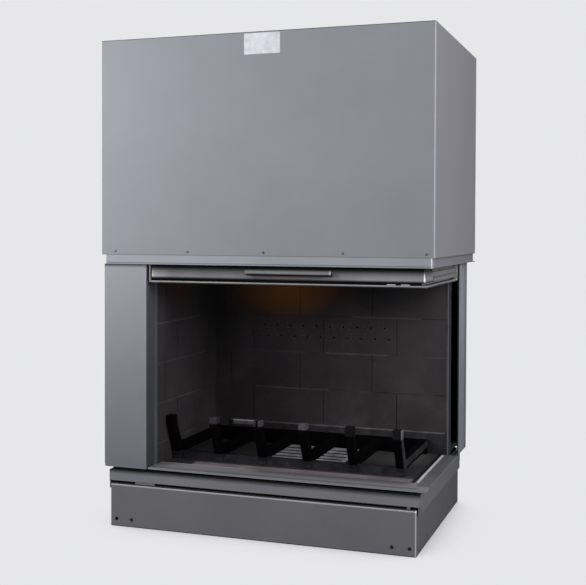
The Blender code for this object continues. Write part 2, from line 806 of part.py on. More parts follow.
def make_floor_carrier():
    margin = PLATE + FIT_GAP
    carrier = block(
        "floor_carrier",
        (BAND_LEFT + margin, BAND_RIGHT - margin),
        (BAND_FRONT + margin, BAND_REAR - margin),
        (CARRIER_BOTTOM, CARRIER_TOP),
        "dark_steel",
    )
    opening = block(
        "floor_carrier_opening",
        (GRATE_X[0] - FIT_GAP, GRATE_X[1] + FIT_GAP),
        (GRATE_Y[0] - FIT_GAP, GRATE_Y[1] + FIT_GAP),
        (CARRIER_BOTTOM - OVERRUN, CARRIER_TOP + OVERRUN),
        "dark_steel",
    )
    cut(carrier, opening)


def make_landing():
    outline = [
        (LEDGE_LEFT, LEDGE_FRONT),
        (LEDGE_RIGHT, LEDGE_FRONT),
        (LEDGE_RIGHT, LEDGE_REAR),
        (LEDGE_INNER_SIDE, LEDGE_REAR),
        (LEDGE_INNER_SIDE, LEDGE_INNER_FRONT),
        (HEARTH_LEFT, LEDGE_INNER_FRONT),
        (HEARTH_LEFT, JAMB_FRONT - FIT_GAP),
        (LEDGE_LEFT, JAMB_FRONT - FIT_GAP),
    ]
    prism("threshold_ledge", outline, "z", (STANDING_LEVEL, LEDGE_TOP), "steel_grey")
    lip_rear = CHAMBER_BACK - LIP_REAR_GAP
    path = [(HEARTH_LEFT, LIP_FRONT), (LIP_SIDE, LIP_FRONT), (LIP_SIDE, lip_rear)]
    section = [
        (0, LINING_BOTTOM),
        (LIP_THICKNESS, LINING_BOTTOM),
        (LIP_THICKNESS, LEDGE_TOP),
        (LIP_THICKNESS / 2, LEDGE_TOP + LIP_RISE),
        (0, LEDGE_TOP + LIP_RISE),
    ]
    sweep("ember_lip", section, path, False, "bright_steel")


# Hearth floor, ash grate, ash well and ash pan


def make_hearth_floor():
    split = (GRATE_X[0] + GRATE_X[1]) / 2
    gap = GRATE_CLEARANCE
    rear = CHAMBER_BACK - FIT_GAP
    left = [
        (HEARTH_LEFT, HEARTH_FRONT),
        (split - FIT_GAP / 2, HEARTH_FRONT),
        (split - FIT_GAP / 2, GRATE_Y[0] - gap),
        (GRATE_X[0] - gap, GRATE_Y[0] - gap),
        (GRATE_X[0] - gap, GRATE_Y[1] + gap),
        (split - FIT_GAP / 2, GRATE_Y[1] + gap),
        (split - FIT_GAP / 2, rear),
        (HEARTH_LEFT, rear),
    ]
    right = [
        (split + FIT_GAP / 2, HEARTH_FRONT),
        (HEARTH_RIGHT, HEARTH_FRONT),
        (HEARTH_RIGHT, rear),
        (split + FIT_GAP / 2, rear),
        (split + FIT_GAP / 2, GRATE_Y[1] + gap),
        (GRATE_X[1] + gap, GRATE_Y[1] + gap),
        (GRATE_X[1] + gap, GRATE_Y[0] - gap),
        (split + FIT_GAP / 2, GRATE_Y[0] - gap),
    ]
    prism("hearth_plate_left", left, "z", (HEARTH_BOTTOM, HEARTH_TOP), "chamotte")
    prism("hearth_plate_right", right, "z", (HEARTH_BOTTOM, HEARTH_TOP), "chamotte")


def make_ash_grate():
    grate = block("ash_grate", GRATE_X, GRATE_Y, (GRATE_BOTTOM, HEARTH_TOP), "grate_iron")
    pitch = GRATE_DEPTH / GRATE_SLATS
    x = (GRATE_X[0] + GRATE_BORDER, GRATE_X[1] - GRATE_BORDER)
    z = (GRATE_BOTTOM - OVERRUN, HEARTH_TOP + OVERRUN)
    slots = []
    for i in range(1, GRATE_SLATS):
        middle = GRATE_Y[0] + pitch * i
        slots.append((x, (middle - GRATE_SLOT / 2, middle + GRATE_SLOT / 2), z))
    return cut(grate, blocks("ash_grate_slots", slots, "grate_iron"))


def make_ash_well():
    well = block("ash_well", GRATE_X, GRATE_Y, (WELL_BOTTOM, WELL_TOP), "dark_steel")
    flange = block(
        "ash_well_flange",
        (GRATE_X[0] - WELL_FLANGE, GRATE_X[1] + WELL_FLANGE),
        (GRATE_Y[0] - WELL_FLANGE, GRATE_Y[1] + WELL_FLANGE),
        (CARRIER_TOP + FIT_GAP, CARRIER_TOP + FIT_GAP + SHEET),
        "dark_steel",
    )
    join(well, flange)
    hollow = block(
        "ash_well_hollow",
        (GRATE_X[0] + SHEET, GRATE_X[1] - SHEET),
        (GRATE_Y[0] + SHEET, GRATE_Y[1] - SHEET),
        (WELL_BOTTOM + SHEET, WELL_TOP + OVERRUN),
        "dark_steel",
    )
    cut(well, hollow)


def make_ash_pan():
    margin = SHEET + PAN_CLEARANCE
    x = (GRATE_X[0] + margin, GRATE_X[1] - margin)
    y = (GRATE_Y[0] + margin, GRATE_Y[1] - margin)
    bottom = WELL_BOTTOM + SHEET + FIT_GAP
    pan = block("ash_pan", x, y, (bottom, bottom + PAN_HEIGHT), "steel_grey")
    hollow = block(
        "ash_pan_hollow",
        (x[0] + SHEET, x[1] - SHEET),
        (y[0] + SHEET, y[1] - SHEET),
        (bottom + SHEET, bottom + PAN_HEIGHT + OVERRUN),
        "steel_grey",
    )
    return cut(pan, hollow)


# Lining of the fire chamber


def course_levels(bottom, top):
    """Heights of the bed joints between two heights, the ends left out."""
    first = HEARTH_TOP + FIRST_COURSE
    levels = []
    level = first
    while level < top - JOINT_WIDTH:
        if level > bottom + JOINT_WIDTH:
            levels.append(level)
        level += COURSE_HEIGHT
    return levels


def upright_joints(start, end, row):
    """Places of the upright joints in a course, from the end that the bond starts at."""
    place = start + FIRST_BRICK - BOND_SHIFT * ((row + 1) % 2)
    places = []
    while place < end - JOINT_WIDTH:
        if place > start + JOINT_WIDTH:
            places.append(place)
        place += BRICK_LENGTH
    return places


def groove_spans(bottom, top, start, end, face):
    """Spans along a wall, in height and in depth of its bed joints and its upright joints."""
    half = JOINT_WIDTH / 2
    depth = (face - OVERRUN, face + JOINT_DEPTH)
    levels = course_levels(bottom, top)
    beds = [((start - OVERRUN, end + OVERRUN), depth, (z - half, z + half)) for z in levels]
    first = HEARTH_TOP + FIRST_COURSE
    edges = [bottom - OVERRUN, *levels, top + OVERRUN]
    uprights = []
    for low, high in zip(edges, edges[1:]):
        row = round((high - first) / COURSE_HEIGHT) if high < top else round((low - first) / COURSE_HEIGHT) + 1
        for place in upright_joints(start, end, row):
            uprights.append(((place - half, place + half), depth, (low + half / 2, high - half / 2)))
    return beds, uprights


def make_back_lining():
    x = (CHAMBER_LEFT - SIDE_LINING, LINING_RIGHT)
    y = (CHAMBER_BACK, CHAMBER_BACK + BACK_LINING)
    boards = (
        ("back_lining_lower", LINING_BOTTOM, BOARD_SPLIT - FIT_GAP / 2),
        ("back_lining_upper", BOARD_SPLIT + FIT_GAP / 2, LINING_TOP),
    )
    for name, bottom, top in boards:
        board = block(name, x, y, (bottom, top), "chamotte")
        beds, uprights = groove_spans(bottom, top, CHAMBER_LEFT, LINING_RIGHT, CHAMBER_BACK)
        if beds:
            cut(board, blocks(name + "_beds", beds, "chamotte"))
        if uprights:
            cut(board, blocks(name + "_uprights", uprights, "chamotte"))
    holes = []
    for row, shift in ((UPPER_HOLE_ROW, 0), (LOWER_HOLE_ROW, AIR_HOLE_STAGGER)):
        for i in range(AIR_HOLES):
            place_x = CHAMBER_LEFT + AIR_HOLE_LEFT + shift + AIR_HOLE_PITCH * i
            place_z = HEARTH_TOP + row
            holes.append(((place_x, y[0] - OVERRUN, place_z), (place_x, y[1] + OVERRUN, place_z)))
    upper = bpy.data.objects["back_lining_upper"]
    cut(upper, rods("air_holes", AIR_HOLE_RADIUS, holes, HOLE_SIDES, "chamotte"))


def make_left_lining():
    x = (CHAMBER_LEFT - SIDE_LINING, CHAMBER_LEFT)
    y = (JAMB_FRONT + PLATE + FIT_GAP, CHAMBER_BACK - FIT_GAP)
    boards = (
        ("left_lining_lower", LINING_BOTTOM, BOARD_SPLIT - FIT_GAP / 2),
        ("left_lining_upper", BOARD_SPLIT + FIT_GAP / 2, LINING_TOP),
    )
    for name, bottom, top in boards:
        board = block(name, x, y, (bottom, top), "chamotte")
        beds, uprights = groove_spans(bottom, top, y[0], y[1], -CHAMBER_LEFT)
        for label, spans in (("_beds", beds), ("_uprights", uprights)):
            turned_spans = [
                ((-depth[1], -depth[0]), along, height) for along, depth, height in spans
            ]
            if turned_spans:
                cut(board, blocks(name + label, turned_spans, "chamotte"))


def make_fire_plate():
    block(
        "rear_fire_plate",
        (CHAMBER_LEFT + FIRE_PLATE_LEFT_GAP, LINING_RIGHT),
        (FIRE_PLATE_FRONT, FIRE_PLATE_FRONT + FIRE_PLATE_THICKNESS),
        (FLOOR_REST, FLOOR_REST + FIRE_PLATE_HEIGHT),
        "dark_steel",
    )


# Steel shell of the fire chamber


def make_shell():
    back = [
        (SHELL_LEFT, SHELL_BACK - PLATE),
        (SHELL_RIGHT - PLATE, SHELL_BACK - PLATE),
        (SHELL_RIGHT - PLATE, CHAMBER_BACK),
        (SHELL_RIGHT, CHAMBER_BACK),
        (SHELL_RIGHT, SHELL_BACK),
        (SHELL_LEFT, SHELL_BACK),
    ]
    prism("firebox_back", back, "z", (LINING_BOTTOM, LINTEL_TOP), "dark_steel")
    block(
        "firebox_left",
        (SHELL_LEFT, SHELL_LEFT + PLATE),
        (JAMB_FRONT + PLATE + FIT_GAP, SHELL_BACK - PLATE - FIT_GAP),
        (LINING_BOTTOM, LINTEL_TOP),
        "dark_steel",
    )
    outer = SHELL_LEFT - FIT_GAP
    jamb = [
        (outer - PLATE, JAMB_FRONT),
        (CHAMBER_LEFT, JAMB_FRONT),
        (CHAMBER_LEFT, JAMB_FRONT + PLATE),
        (outer, JAMB_FRONT + PLATE),
        (outer, JAMB_FRONT + JAMB_LEG),
        (outer - PLATE, JAMB_FRONT + JAMB_LEG),
    ]
    prism("left_jamb", jamb, "z", (LINING_BOTTOM, LINTEL_BOTTOM - FIT_GAP), "steel_grey")


def make_lintel():
    section = [
        (0, LINTEL_BOTTOM),
        (LINTEL_FLANGE, LINTEL_BOTTOM),
        (LINTEL_FLANGE, LINTEL_BOTTOM + PLATE),
        (PLATE, LINTEL_BOTTOM + PLATE),
        (PLATE, LINTEL_TOP),
        (0, LINTEL_TOP),
    ]
    left = CHAMBER_LEFT + FIT_GAP
    rear = CHAMBER_BACK - FIT_GAP
    path = [(left, JAMB_FRONT), (LINTEL_RIGHT, JAMB_FRONT), (LINTEL_RIGHT, rear)]
    lintel = sweep("lintel_frame", section, path, False, "dark_steel")
    wing = block(
        "lintel_left_wing",
        (SHELL_LEFT, left + PLATE),
        (JAMB_FRONT, JAMB_FRONT + PLATE),
        (LINTEL_BOTTOM, LINTEL_TOP),
        "dark_steel",
    )
    join(lintel, wing)


def make_baffle():
    bottom = LINING_TOP + FIT_GAP
    block(
        "baffle_plate",
        (CHAMBER_LEFT - SIDE_LINING, LINTEL_RIGHT - PLATE - FIT_GAP),
        (JAMB_FRONT + BAFFLE_THROAT, SHELL_BACK - PLATE - FIT_GAP),
        (bottom, bottom + BAFFLE_THICKNESS),
        "chamotte",
    )


# Smoke hood and flue collar


def rectangle_ring(x, y, per_side):
    """Points round a rectangle, the same number on each side, from its front left corner."""
    corners = [(x[0], y[0]), (x[1], y[0]), (x[1], y[1]), (x[0], y[1])]
    points = []
    for a, b in zip(corners, corners[1:] + corners[:1]):
        for i in range(per_side):
            share = i / per_side
            points.append((a[0] + (b[0] - a[0]) * share, a[1] + (b[1] - a[1]) * share))
    return points


def make_smoke_hood():
    per_side = FLUE_SIDES // 6
    count = 4 * per_side
    x = (SHELL_LEFT + PLATE, LINTEL_RIGHT - PLATE)
    y = (JAMB_FRONT + PLATE, SHELL_BACK - PLATE)
    base = rectangle_ring(x, y, per_side)
    radius = FLUE_RADIUS - PLATE
    neck = [
        (FLUE_X + radius * math.cos(angle), FLUE_Y + radius * math.sin(angle))
        for angle in (math.radians(225 + 360 * i / count) for i in range(count))
    ]
    stations = [
        (base, HOOD_BOTTOM),
        (base, HOOD_BOTTOM + HOOD_SKIRT),
        (neck, NECK_BOTTOM - HOOD_SKIRT / 4),
        (neck, NECK_BOTTOM),
    ]
    bm = bmesh.new()
    rings = [[bm.verts.new((*point, z)) for point in points] for points, z in stations]
    for low, high in zip(rings, rings[1:]):
        for i in range(count):
            following = (i + 1) % count
            bm.faces.new((low[i], low[following], high[following], high[i]))
    mesh = bpy.data.meshes.new("smoke_hood")
    bmesh.ops.recalc_face_normals(bm, faces=bm.faces)
    bm.to_mesh(mesh)
    bm.free()
    hood = keep("smoke_hood", mesh, "dark_steel")
    wall = hood.modifiers.new("wall", "SOLIDIFY")
    wall.thickness = PLATE
    wall.offset = 1
    wall.use_even_offset = True
    smooth(hood)


def make_flue_collar():
    inner = FLUE_RADIUS - PLATE
    bottom = NECK_BOTTOM + FIT_GAP
    bead = (bottom + FLUE_TOP) / 2
    profile = [
        (FLUE_RADIUS, FLUE_TOP),
        (FLUE_RADIUS, CASING_TOP + FLUE_BEAD * 2),
        (FLUE_RADIUS + FLUE_BEAD, CASING_TOP + FLUE_BEAD * 1.5),
        (FLUE_RADIUS + FLUE_BEAD, CASING_TOP + FLUE_BEAD),
        (FLUE_RADIUS, CASING_TOP + FLUE_BEAD / 2),
        (FLUE_RADIUS, bottom),
        (inner, bottom),
        (inner, FLUE_TOP),
    ]
    centred = [(radius, height - bead) for radius, height in profile]
    collar = turned("flue_collar", centred, "z", (FLUE_X, FLUE_Y, bead), FLUE_SIDES, "steel_grey")
    smooth(collar)


# Column cover, rear cover and upright


def make_column_cover():
    inner_left = COLUMN_LEFT + SHEET
    inner_right = COLUMN_RIGHT - SHEET
    rear = POST_REAR - SHEET - FIT_GAP
    return_end = JAMB_FRONT - FIT_GAP
    outline = [
        (COLUMN_LEFT, FRONT),
        (COLUMN_RIGHT, FRONT),
        (COLUMN_RIGHT, return_end),
        (inner_right, return_end),
        (inner_right, FRONT + SHEET),
        (inner_left, FRONT + SHEET),
        (inner_left, rear),
        (COLUMN_LEFT, rear),
    ]
    cover = prism("column_cover", outline, "z", (STANDING_LEVEL, COLUMN_TOP), "steel_grey")
    foot = block(
        "column_cover_foot",
        (COLUMN_LEFT + SHEET / 2, COLUMN_RIGHT - SHEET / 2),
        (FRONT + SHEET / 2, return_end),
        (STANDING_LEVEL, STANDING_LEVEL + SHEET),
        "steel_grey",
    )
    join(cover, foot)
    notch = block(
        "column_return_notch",
        (inner_right - OVERRUN / 2, COLUMN_RIGHT + OVERRUN),
        (FRONT + RETURN_NOTCH_FRONT, return_end + OVERRUN),
        (COLUMN_TOP - RETURN_NOTCH_HEIGHT, COLUMN_TOP + OVERRUN),
        "steel_grey",
    )
    cut(cover, notch)
    corner = [
        (COLUMN_LEFT - OVERRUN, STANDING_LEVEL - OVERRUN),
        (COLUMN_LEFT + COLUMN_CORNER + OVERRUN, STANDING_LEVEL - OVERRUN),
        (COLUMN_LEFT - OVERRUN, STANDING_LEVEL + COLUMN_CORNER + OVERRUN),
    ]
    cut(cover, prism("column_corner", corner, "y", (FRONT - OVERRUN, FRONT + SHEET), "steel_grey"))


def make_rear_cover():
    inner = POST_REAR - SHEET
    outer_top = REAR - SHEET - FIT_GAP
    inner_top = outer_top - SHEET
    outline = [
        (inner - REAR_COVER_FLANGE, STANDING_LEVEL),
        (POST_REAR, STANDING_LEVEL),
        (POST_REAR, COLUMN_TOP),
        (outer_top, CASING_BOTTOM - SHEET),
        (outer_top, CASING_BOTTOM + REAR_COVER_LAP),
        (inner_top, CASING_BOTTOM + REAR_COVER_LAP),
        (inner_top, CASING_BOTTOM),
        (inner, COLUMN_TOP + SHEET),
        (inner, STANDING_LEVEL + SHEET),
        (inner - REAR_COVER_FLANGE, STANDING_LEVEL + SHEET),
    ]
    cover = prism("rear_cover", outline, "x", (COLUMN_LEFT, POST_LEFT - FIT_GAP), "steel_grey")
    upright_room = block(
        "rear_cover_corner",
        (COLUMN_LEFT - OVERRUN, COLUMN_LEFT + SHEET + UPRIGHT_LEG + FIT_GAP * 2),
        (inner - REAR_COVER_FLANGE - OVERRUN, inner - FIT_GAP / 2),
        (STANDING_LEVEL - OVERRUN, STANDING_LEVEL + SHEET + OVERRUN),
        "steel_grey",
    )
    cut(cover, upright_room)


def make_upright():
    left = COLUMN_LEFT + SHEET + FIT_GAP
    rear = POST_REAR - SHEET - FIT_GAP
    outline = [
        (left, rear - UPRIGHT_LEG),
        (left + PLATE, rear - UPRIGHT_LEG),
        (left + PLATE, rear - PLATE),
        (left + UPRIGHT_LEG, rear - PLATE),
        (left + UPRIGHT_LEG, rear),
        (left, rear),
    ]
    prism("rear_upright", outline, "z", (STANDING_LEVEL, BRACKET_TOP), "dark_steel")


# Post and guide channel


def make_guide_post():
    inner_left = POST_LEFT + SHEET
    inner_rear = POST_REAR - SHEET
    outline = [
        (SLOT_LEFT, CHAMBER_BACK),
        (SLOT_LEFT, CHAMBER_BACK + SHEET),
        (inner_left, CHAMBER_BACK + SHEET),
        (inner_left, inner_rear),
        (SLOT_RIGHT, inner_rear),
        (SLOT_RIGHT, CHAMBER_BACK),
        (POST_RIGHT, CHAMBER_BACK),
        (POST_RIGHT, POST_REAR),
        (POST_LEFT, POST_REAR),
        (POST_LEFT, CHAMBER_BACK),
    ]
    prism("guide_post", outline, "z", (STANDING_LEVEL, GUIDE_TOP), "steel_grey")


def make_guide_channel():
    outline = [
        (CHANNEL_LEFT, CHANNEL_FRONT),
        (CHANNEL_RIGHT, CHANNEL_FRONT),
        (CHANNEL_RIGHT, CHANNEL_FRONT + SHEET),
        (CHANNEL_LEFT + SHEET, CHANNEL_FRONT + SHEET),
        (CHANNEL_LEFT + SHEET, CHANNEL_REAR - SHEET),
        (CHANNEL_RIGHT, CHANNEL_REAR - SHEET),
        (CHANNEL_RIGHT, CHANNEL_REAR),
        (CHANNEL_LEFT, CHANNEL_REAR),
    ]
    prism("guide_channel", outline, "z", (GUIDE_BOTTOM, GUIDE_TOP), "bright_steel")


# Door


def frame_outline(left, right, bottom, top, strip, corner):
    """A frame's outline, open on its right, with rounded corners on its left."""
    inner_corner = corner - strip
    outline = [(right, bottom)]
    outline += [(right, bottom + strip)]
    outline += arc((left + corner, bottom + corner), inner_corner, 270, 180, CORNER_STEPS)
    outline += arc((left + corner, top - corner), inner_corner, 180, 90, CORNER_STEPS)
    outline += [(right, top - strip), (right, top)]
    outline += arc((left + corner, top - corner), corner, 90, 180, CORNER_STEPS)
    outline += arc((left + corner, bottom + corner), corner, 180, 270, CORNER_STEPS)
    return outline


def make_door_frames():
    front_outline = frame_outline(
        DOOR_LEFT, DOOR_RIGHT, DOOR_BOTTOM, DOOR_TOP, FRAME_STRIP, FRAME_CORNER
    )
    front = prism("door_front_frame", front_outline, "y", (DOOR_FRONT, DOOR_REAR), "bright_steel")
    rear = CHAMBER_BACK - FRAME_REAR_GAP
    start = DOOR_REAR + FIT_GAP
    side_outline = [
        (start, DOOR_BOTTOM),
        (rear, DOOR_BOTTOM),
        (rear, DOOR_TOP),
        (start, DOOR_TOP),
        (start, DOOR_TOP - FRAME_STRIP),
        (rear - FRAME_STRIP, DOOR_TOP - FRAME_STRIP),
        (rear - FRAME_STRIP, DOOR_BOTTOM + FRAME_STRIP),
        (start, DOOR_BOTTOM + FRAME_STRIP),
    ]
    side = prism("door_side_frame", side_outline, "x", (DOOR_INNER_SIDE, DOOR_RIGHT), "bright_steel")
    stile = [
        (STILE_LEFT, STILE_FRONT),
        (STILE_LEFT + STILE_WIDTH, STILE_FRONT),
        (STILE_LEFT + STILE_WIDTH, STILE_REAR),
        (STILE_LEFT, STILE_REAR),
    ]
    rear_stile = prism("door_rear_stile", stile, "z", (DOOR_BOTTOM, DOOR_TOP), "dark_steel")
    hollow = block(
        "door_rear_stile_hollow",
        (STILE_LEFT + SHEET, STILE_LEFT + STILE_WIDTH - SHEET),
        (STILE_FRONT + SHEET, STILE_REAR - SHEET),
        (DOOR_BOTTOM - OVERRUN, DOOR_TOP + OVERRUN),
        "dark_steel",
    )
    cut(rear_stile, hollow)
    return [front, side, rear_stile]


def make_glass():
    """The two panes, which meet at the corner."""
    z = (DOOR_BOTTOM + FRAME_STRIP + GLASS_CLEARANCE, DOOR_TOP - FRAME_STRIP - GLASS_CLEARANCE)
    front_y = DOOR_FRONT + RAIL_DEPTH + FIT_GAP
    side_x = DOOR_RIGHT - RAIL_DEPTH - FIT_GAP
    front = block(
        "front_glass",
        (DOOR_LEFT + FRAME_STRIP + GLASS_CLEARANCE, side_x),
        (front_y, front_y + GLASS_THICKNESS),
        z,
        "glass",
    )
    side = block(
        "side_glass",
        (side_x - GLASS_THICKNESS, side_x),
        (front_y + GLASS_THICKNESS + FIT_GAP, CHAMBER_BACK - FRAME_REAR_GAP - FRAME_STRIP - GLASS_CLEARANCE),
        z,
        "glass",
    )
    return [front, side]


def rolled_section(depth, bottom, height, roll):
    """Section of a moulding whose face bulges outward between its two edges."""
    steps = CORNER_STEPS + 1
    face = []
    for i in range(steps + 1):
        share = i / steps
        bulge = math.sin(math.pi * share) ** 0.7
        face.append((roll * (1 - bulge), bottom + height * share))
    return face + [(depth, bottom + height), (depth, bottom)]


def make_rails():
    left = DOOR_LEFT + RAIL_LEFT_GAP
    return_end = DOOR_FRONT + RAIL_RETURN
    front = sweep(
        "door_front_rail",
        rolled_section(RAIL_DEPTH, RAIL_BOTTOM, RAIL_HEIGHT, RAIL_ROLL),
        [(left, DOOR_FRONT), (DOOR_RIGHT, DOOR_FRONT), (DOOR_RIGHT, return_end)],
        False,
        "bright_steel",
    )
    smooth(front)
    third = RAIL_HEIGHT / 3
    section = [
        (0, RAIL_BOTTOM),
        (0, RAIL_BOTTOM + third),
        (SIDE_RAIL_STEP, RAIL_BOTTOM + third),
        (SIDE_RAIL_STEP, RAIL_BOTTOM + 2 * third),
        (SIDE_RAIL_STEP * 2, RAIL_BOTTOM + 2 * third),
        (SIDE_RAIL_STEP * 2, RAIL_TOP),
        (RAIL_DEPTH, RAIL_TOP),
        (RAIL_DEPTH, RAIL_BOTTOM),
    ]
    side_path = [
        (DOOR_RIGHT, return_end + RAIL_NOTCH),
        (DOOR_RIGHT, CHAMBER_BACK - SIDE_RAIL_REAR_GAP),
    ]
    side = sweep("door_side_rail", section, side_path, False, "steel_grey")
    return [front, side]


def make_handle():
    left = DOOR_LEFT + HANDLE_LEFT
    front = FRONT - HANDLE_PROUD
    bottom = RAIL_BOTTOM + HANDLE_LIFT
    middle = bottom + HANDLE_HEIGHT / 2
    handle = block(
        "door_handle",
        (left, left + HANDLE_LENGTH),
        (front, front + HANDLE_THICKNESS),
        (bottom, bottom + HANDLE_HEIGHT),
        "bright_steel",
    )
    bevel(handle, HANDLE_CHAMFER)
    ends = [
        ((x, front + HANDLE_THICKNESS / 2, middle), (x, DOOR_FRONT - FIT_GAP, middle))
        for x in (left + HANDLE_POST_INSET, left + HANDLE_LENGTH - HANDLE_POST_INSET)
    ]
    return join(handle, rods("door_handle_posts", HANDLE_POST_RADIUS, ends, AXLE_SIDES, "bright_steel"))


def make_seal():
    """The rope seal on the back of the door's frame, down its left and along its top."""
    radius = SEAL_DIAMETER / 2
    y = DOOR_REAR + FIT_GAP + radius
    left = DOOR_LEFT + radius
    top = DOOR_TOP - radius
    bend = SEAL_DIAMETER
    run = [(left, DOOR_BOTTOM + FRAME_STRIP), (left, top - bend)]
    run += arc((left + bend, top - bend), bend, 180, 90, CORNER_STEPS)[1:]
    run += [(LINTEL_RIGHT, top)]
    return tube("door_seal", [(x, y, z) for x, z in run], radius, "rope_seal")


def make_carriage():
    """The shoe that runs in the guide channel, and the arm that ties it to the door."""
    slack = SLIDE_CLEARANCE
    shoe = block(
        "door_carriage",
        (CHANNEL_LEFT + SHEET + slack, CHANNEL_RIGHT - slack),
        (CHANNEL_FRONT + SHEET + slack, CHANNEL_REAR - SHEET - slack),
        (CARRIAGE_BOTTOM, CARRIAGE_TOP),
        "dark_steel",
    )
    arm_top = DOOR_TOP - CARRIAGE_ARM_DROP
    arm = block(
        "door_carriage_arm",
        (CHANNEL_LEFT + SHEET + slack * 2, DOOR_LEFT - FIT_GAP),
        (LEFT_ROPE_Y - CARRIAGE_ARM_DEPTH / 2, LEFT_ROPE_Y + CARRIAGE_ARM_DEPTH / 2),
        (arm_top - CARRIAGE_ARM_HEIGHT, arm_top),
        "dark_steel",
    )
    return join(shoe, arm)


def make_door():
    empty = joint_empty("door", (0, DOOR_FRONT, DOOR_BOTTOM))
    pieces = make_door_frames() + make_glass() + make_rails()
    pieces += [make_handle(), make_seal(), make_carriage()]
    carried_by(empty, pieces)


# Counterweights, ropes and pulleys


def weight(name, centre, width, depth, height):
    """A counterweight under the end of its rope."""
    x = (centre[0] - width / 2, centre[0] + width / 2)
    y = (centre[1] - depth / 2, centre[1] + depth / 2)
    made = block(name, x, y, (WEIGHT_BOTTOM, WEIGHT_BOTTOM + height), "cast_iron")
    return bevel(made, WEIGHT_CHAMFER)


def pulley(name, axis, centre):
    """A grooved wheel."""
    half = PULLEY_WIDTH / 2
    bore = AXLE_RADIUS + AXLE_CLEARANCE
    root = PULLEY_PITCH_RADIUS - ROPE_RADIUS - FIT_GAP
    profile = [
        (PULLEY_RADIUS, half),
        (PULLEY_RADIUS, GROOVE_MOUTH),
        (root, GROOVE_ROOT),
        (root, -GROOVE_ROOT),
        (PULLEY_RADIUS, -GROOVE_MOUTH),
        (PULLEY_RADIUS, -half),
        (bore, -half),
        (bore, half),
    ]
    return smooth(turned(name, profile, axis, centre, PULLEY_SIDES, "dark_steel"))


def pulley_bracket(name, axis, centre):
    """An upside-down channel under the top of the casing, with the pulley's axle through its cheeks."""
    along = AXIS_VECTORS[axis]
    inner = PULLEY_WIDTH / 2 + BRACKET_SIDE_GAP
    outer = inner + BRACKET_PLATE
    bottom = PULLEY_Z - BRACKET_BELOW_AXLE
    outline = [
        (-outer, bottom),
        (-inner, bottom),
        (-inner, BRACKET_TOP - BRACKET_PLATE),
        (inner, BRACKET_TOP - BRACKET_PLATE),
        (inner, bottom),
        (outer, bottom),
        (outer, BRACKET_TOP),
        (-outer, BRACKET_TOP),
    ]
    place = centre[1] if axis == "y" else centre[0]
    other = centre[0] if axis == "y" else centre[1]
    across = "x" if axis == "y" else "y"
    span = (other - BRACKET_LENGTH / 2, other + BRACKET_LENGTH / 2)
    bracket = prism(name, [(place + u, z) for u, z in outline], across, span, "dark_steel")
    middle = Vector((centre[0], centre[1], PULLEY_Z))
    ends = [(middle - along * (outer - BRACKET_PLATE / 4), middle + along * (outer - BRACKET_PLATE / 4))]
    return join(bracket, rods(name + "_axle", AXLE_RADIUS, ends, AXLE_SIDES, "dark_steel"))


def rope_bend(name, axis, centre):
    """The rope's half turn over its pulley."""
    points = []
    for u, z in arc((0, PULLEY_Z), PULLEY_PITCH_RADIUS, 0, 180, BEND_STEPS):
        points.append((centre[0] + u, centre[1], z) if axis == "y" else (centre[0], centre[1] + u, z))
    return tube(name, points, ROPE_RADIUS, "bright_steel")


def rope_run(name, x, y, bottom):
    """A straight run of rope, from what hangs on it up to its pulley."""
    points = [(x, y, bottom + FIT_GAP), (x, y, ROPE_FIXED_Z)]
    return tube(name, points, ROPE_RADIUS, "bright_steel")


def make_lifting_gear():
    left = (LEFT_PULLEY_X, LEFT_ROPE_Y, PULLEY_Z)
    rear = (REAR_ROPE_X, REAR_PULLEY_Y, PULLEY_Z)
    pulley("left_pulley", "y", left)
    pulley("rear_pulley", "x", rear)
    pulley_bracket("left_pulley_bracket", "y", left)
    pulley_bracket("rear_pulley_bracket", "x", rear)
    rope_bend("left_rope_bend", "y", left)
    rope_bend("rear_rope_bend", "x", rear)
    rope_run("left_door_rope", LEFT_ROPE_X, LEFT_ROPE_Y, CARRIAGE_TOP)
    rope_run("rear_door_rope", REAR_ROPE_X, REAR_ROPE_Y, DOOR_TOP)
    rope_run("left_weight_rope", LEFT_WEIGHT_X, LEFT_ROPE_Y, WEIGHT_BOTTOM + LEFT_WEIGHT_HEIGHT)
    rope_run("rear_weight_rope", REAR_ROPE_X, REAR_WEIGHT_Y, WEIGHT_BOTTOM + REAR_WEIGHT_HEIGHT)
    left_centre = (LEFT_WEIGHT_X, LEFT_ROPE_Y)
    rear_centre = (REAR_ROPE_X, REAR_WEIGHT_Y)
    left_empty = joint_empty("left_weight_slide", (*left_centre, WEIGHT_BOTTOM))
    rear_empty = joint_empty("rear_weight_slide", (*rear_centre, WEIGHT_BOTTOM))
    left_weight = weight(
        "left_counterweight", left_centre, LEFT_WEIGHT_WIDTH, LEFT_WEIGHT_DEPTH, LEFT_WEIGHT_HEIGHT
    )
    rear_weight = weight(
        "rear_counterweight", rear_centre, REAR_WEIGHT_WIDTH, REAR_WEIGHT_DEPTH, REAR_WEIGHT_HEIGHT
    )
    carried_by(left_empty, [left_weight])
    carried_by(rear_empty, [rear_weight])


# Casing


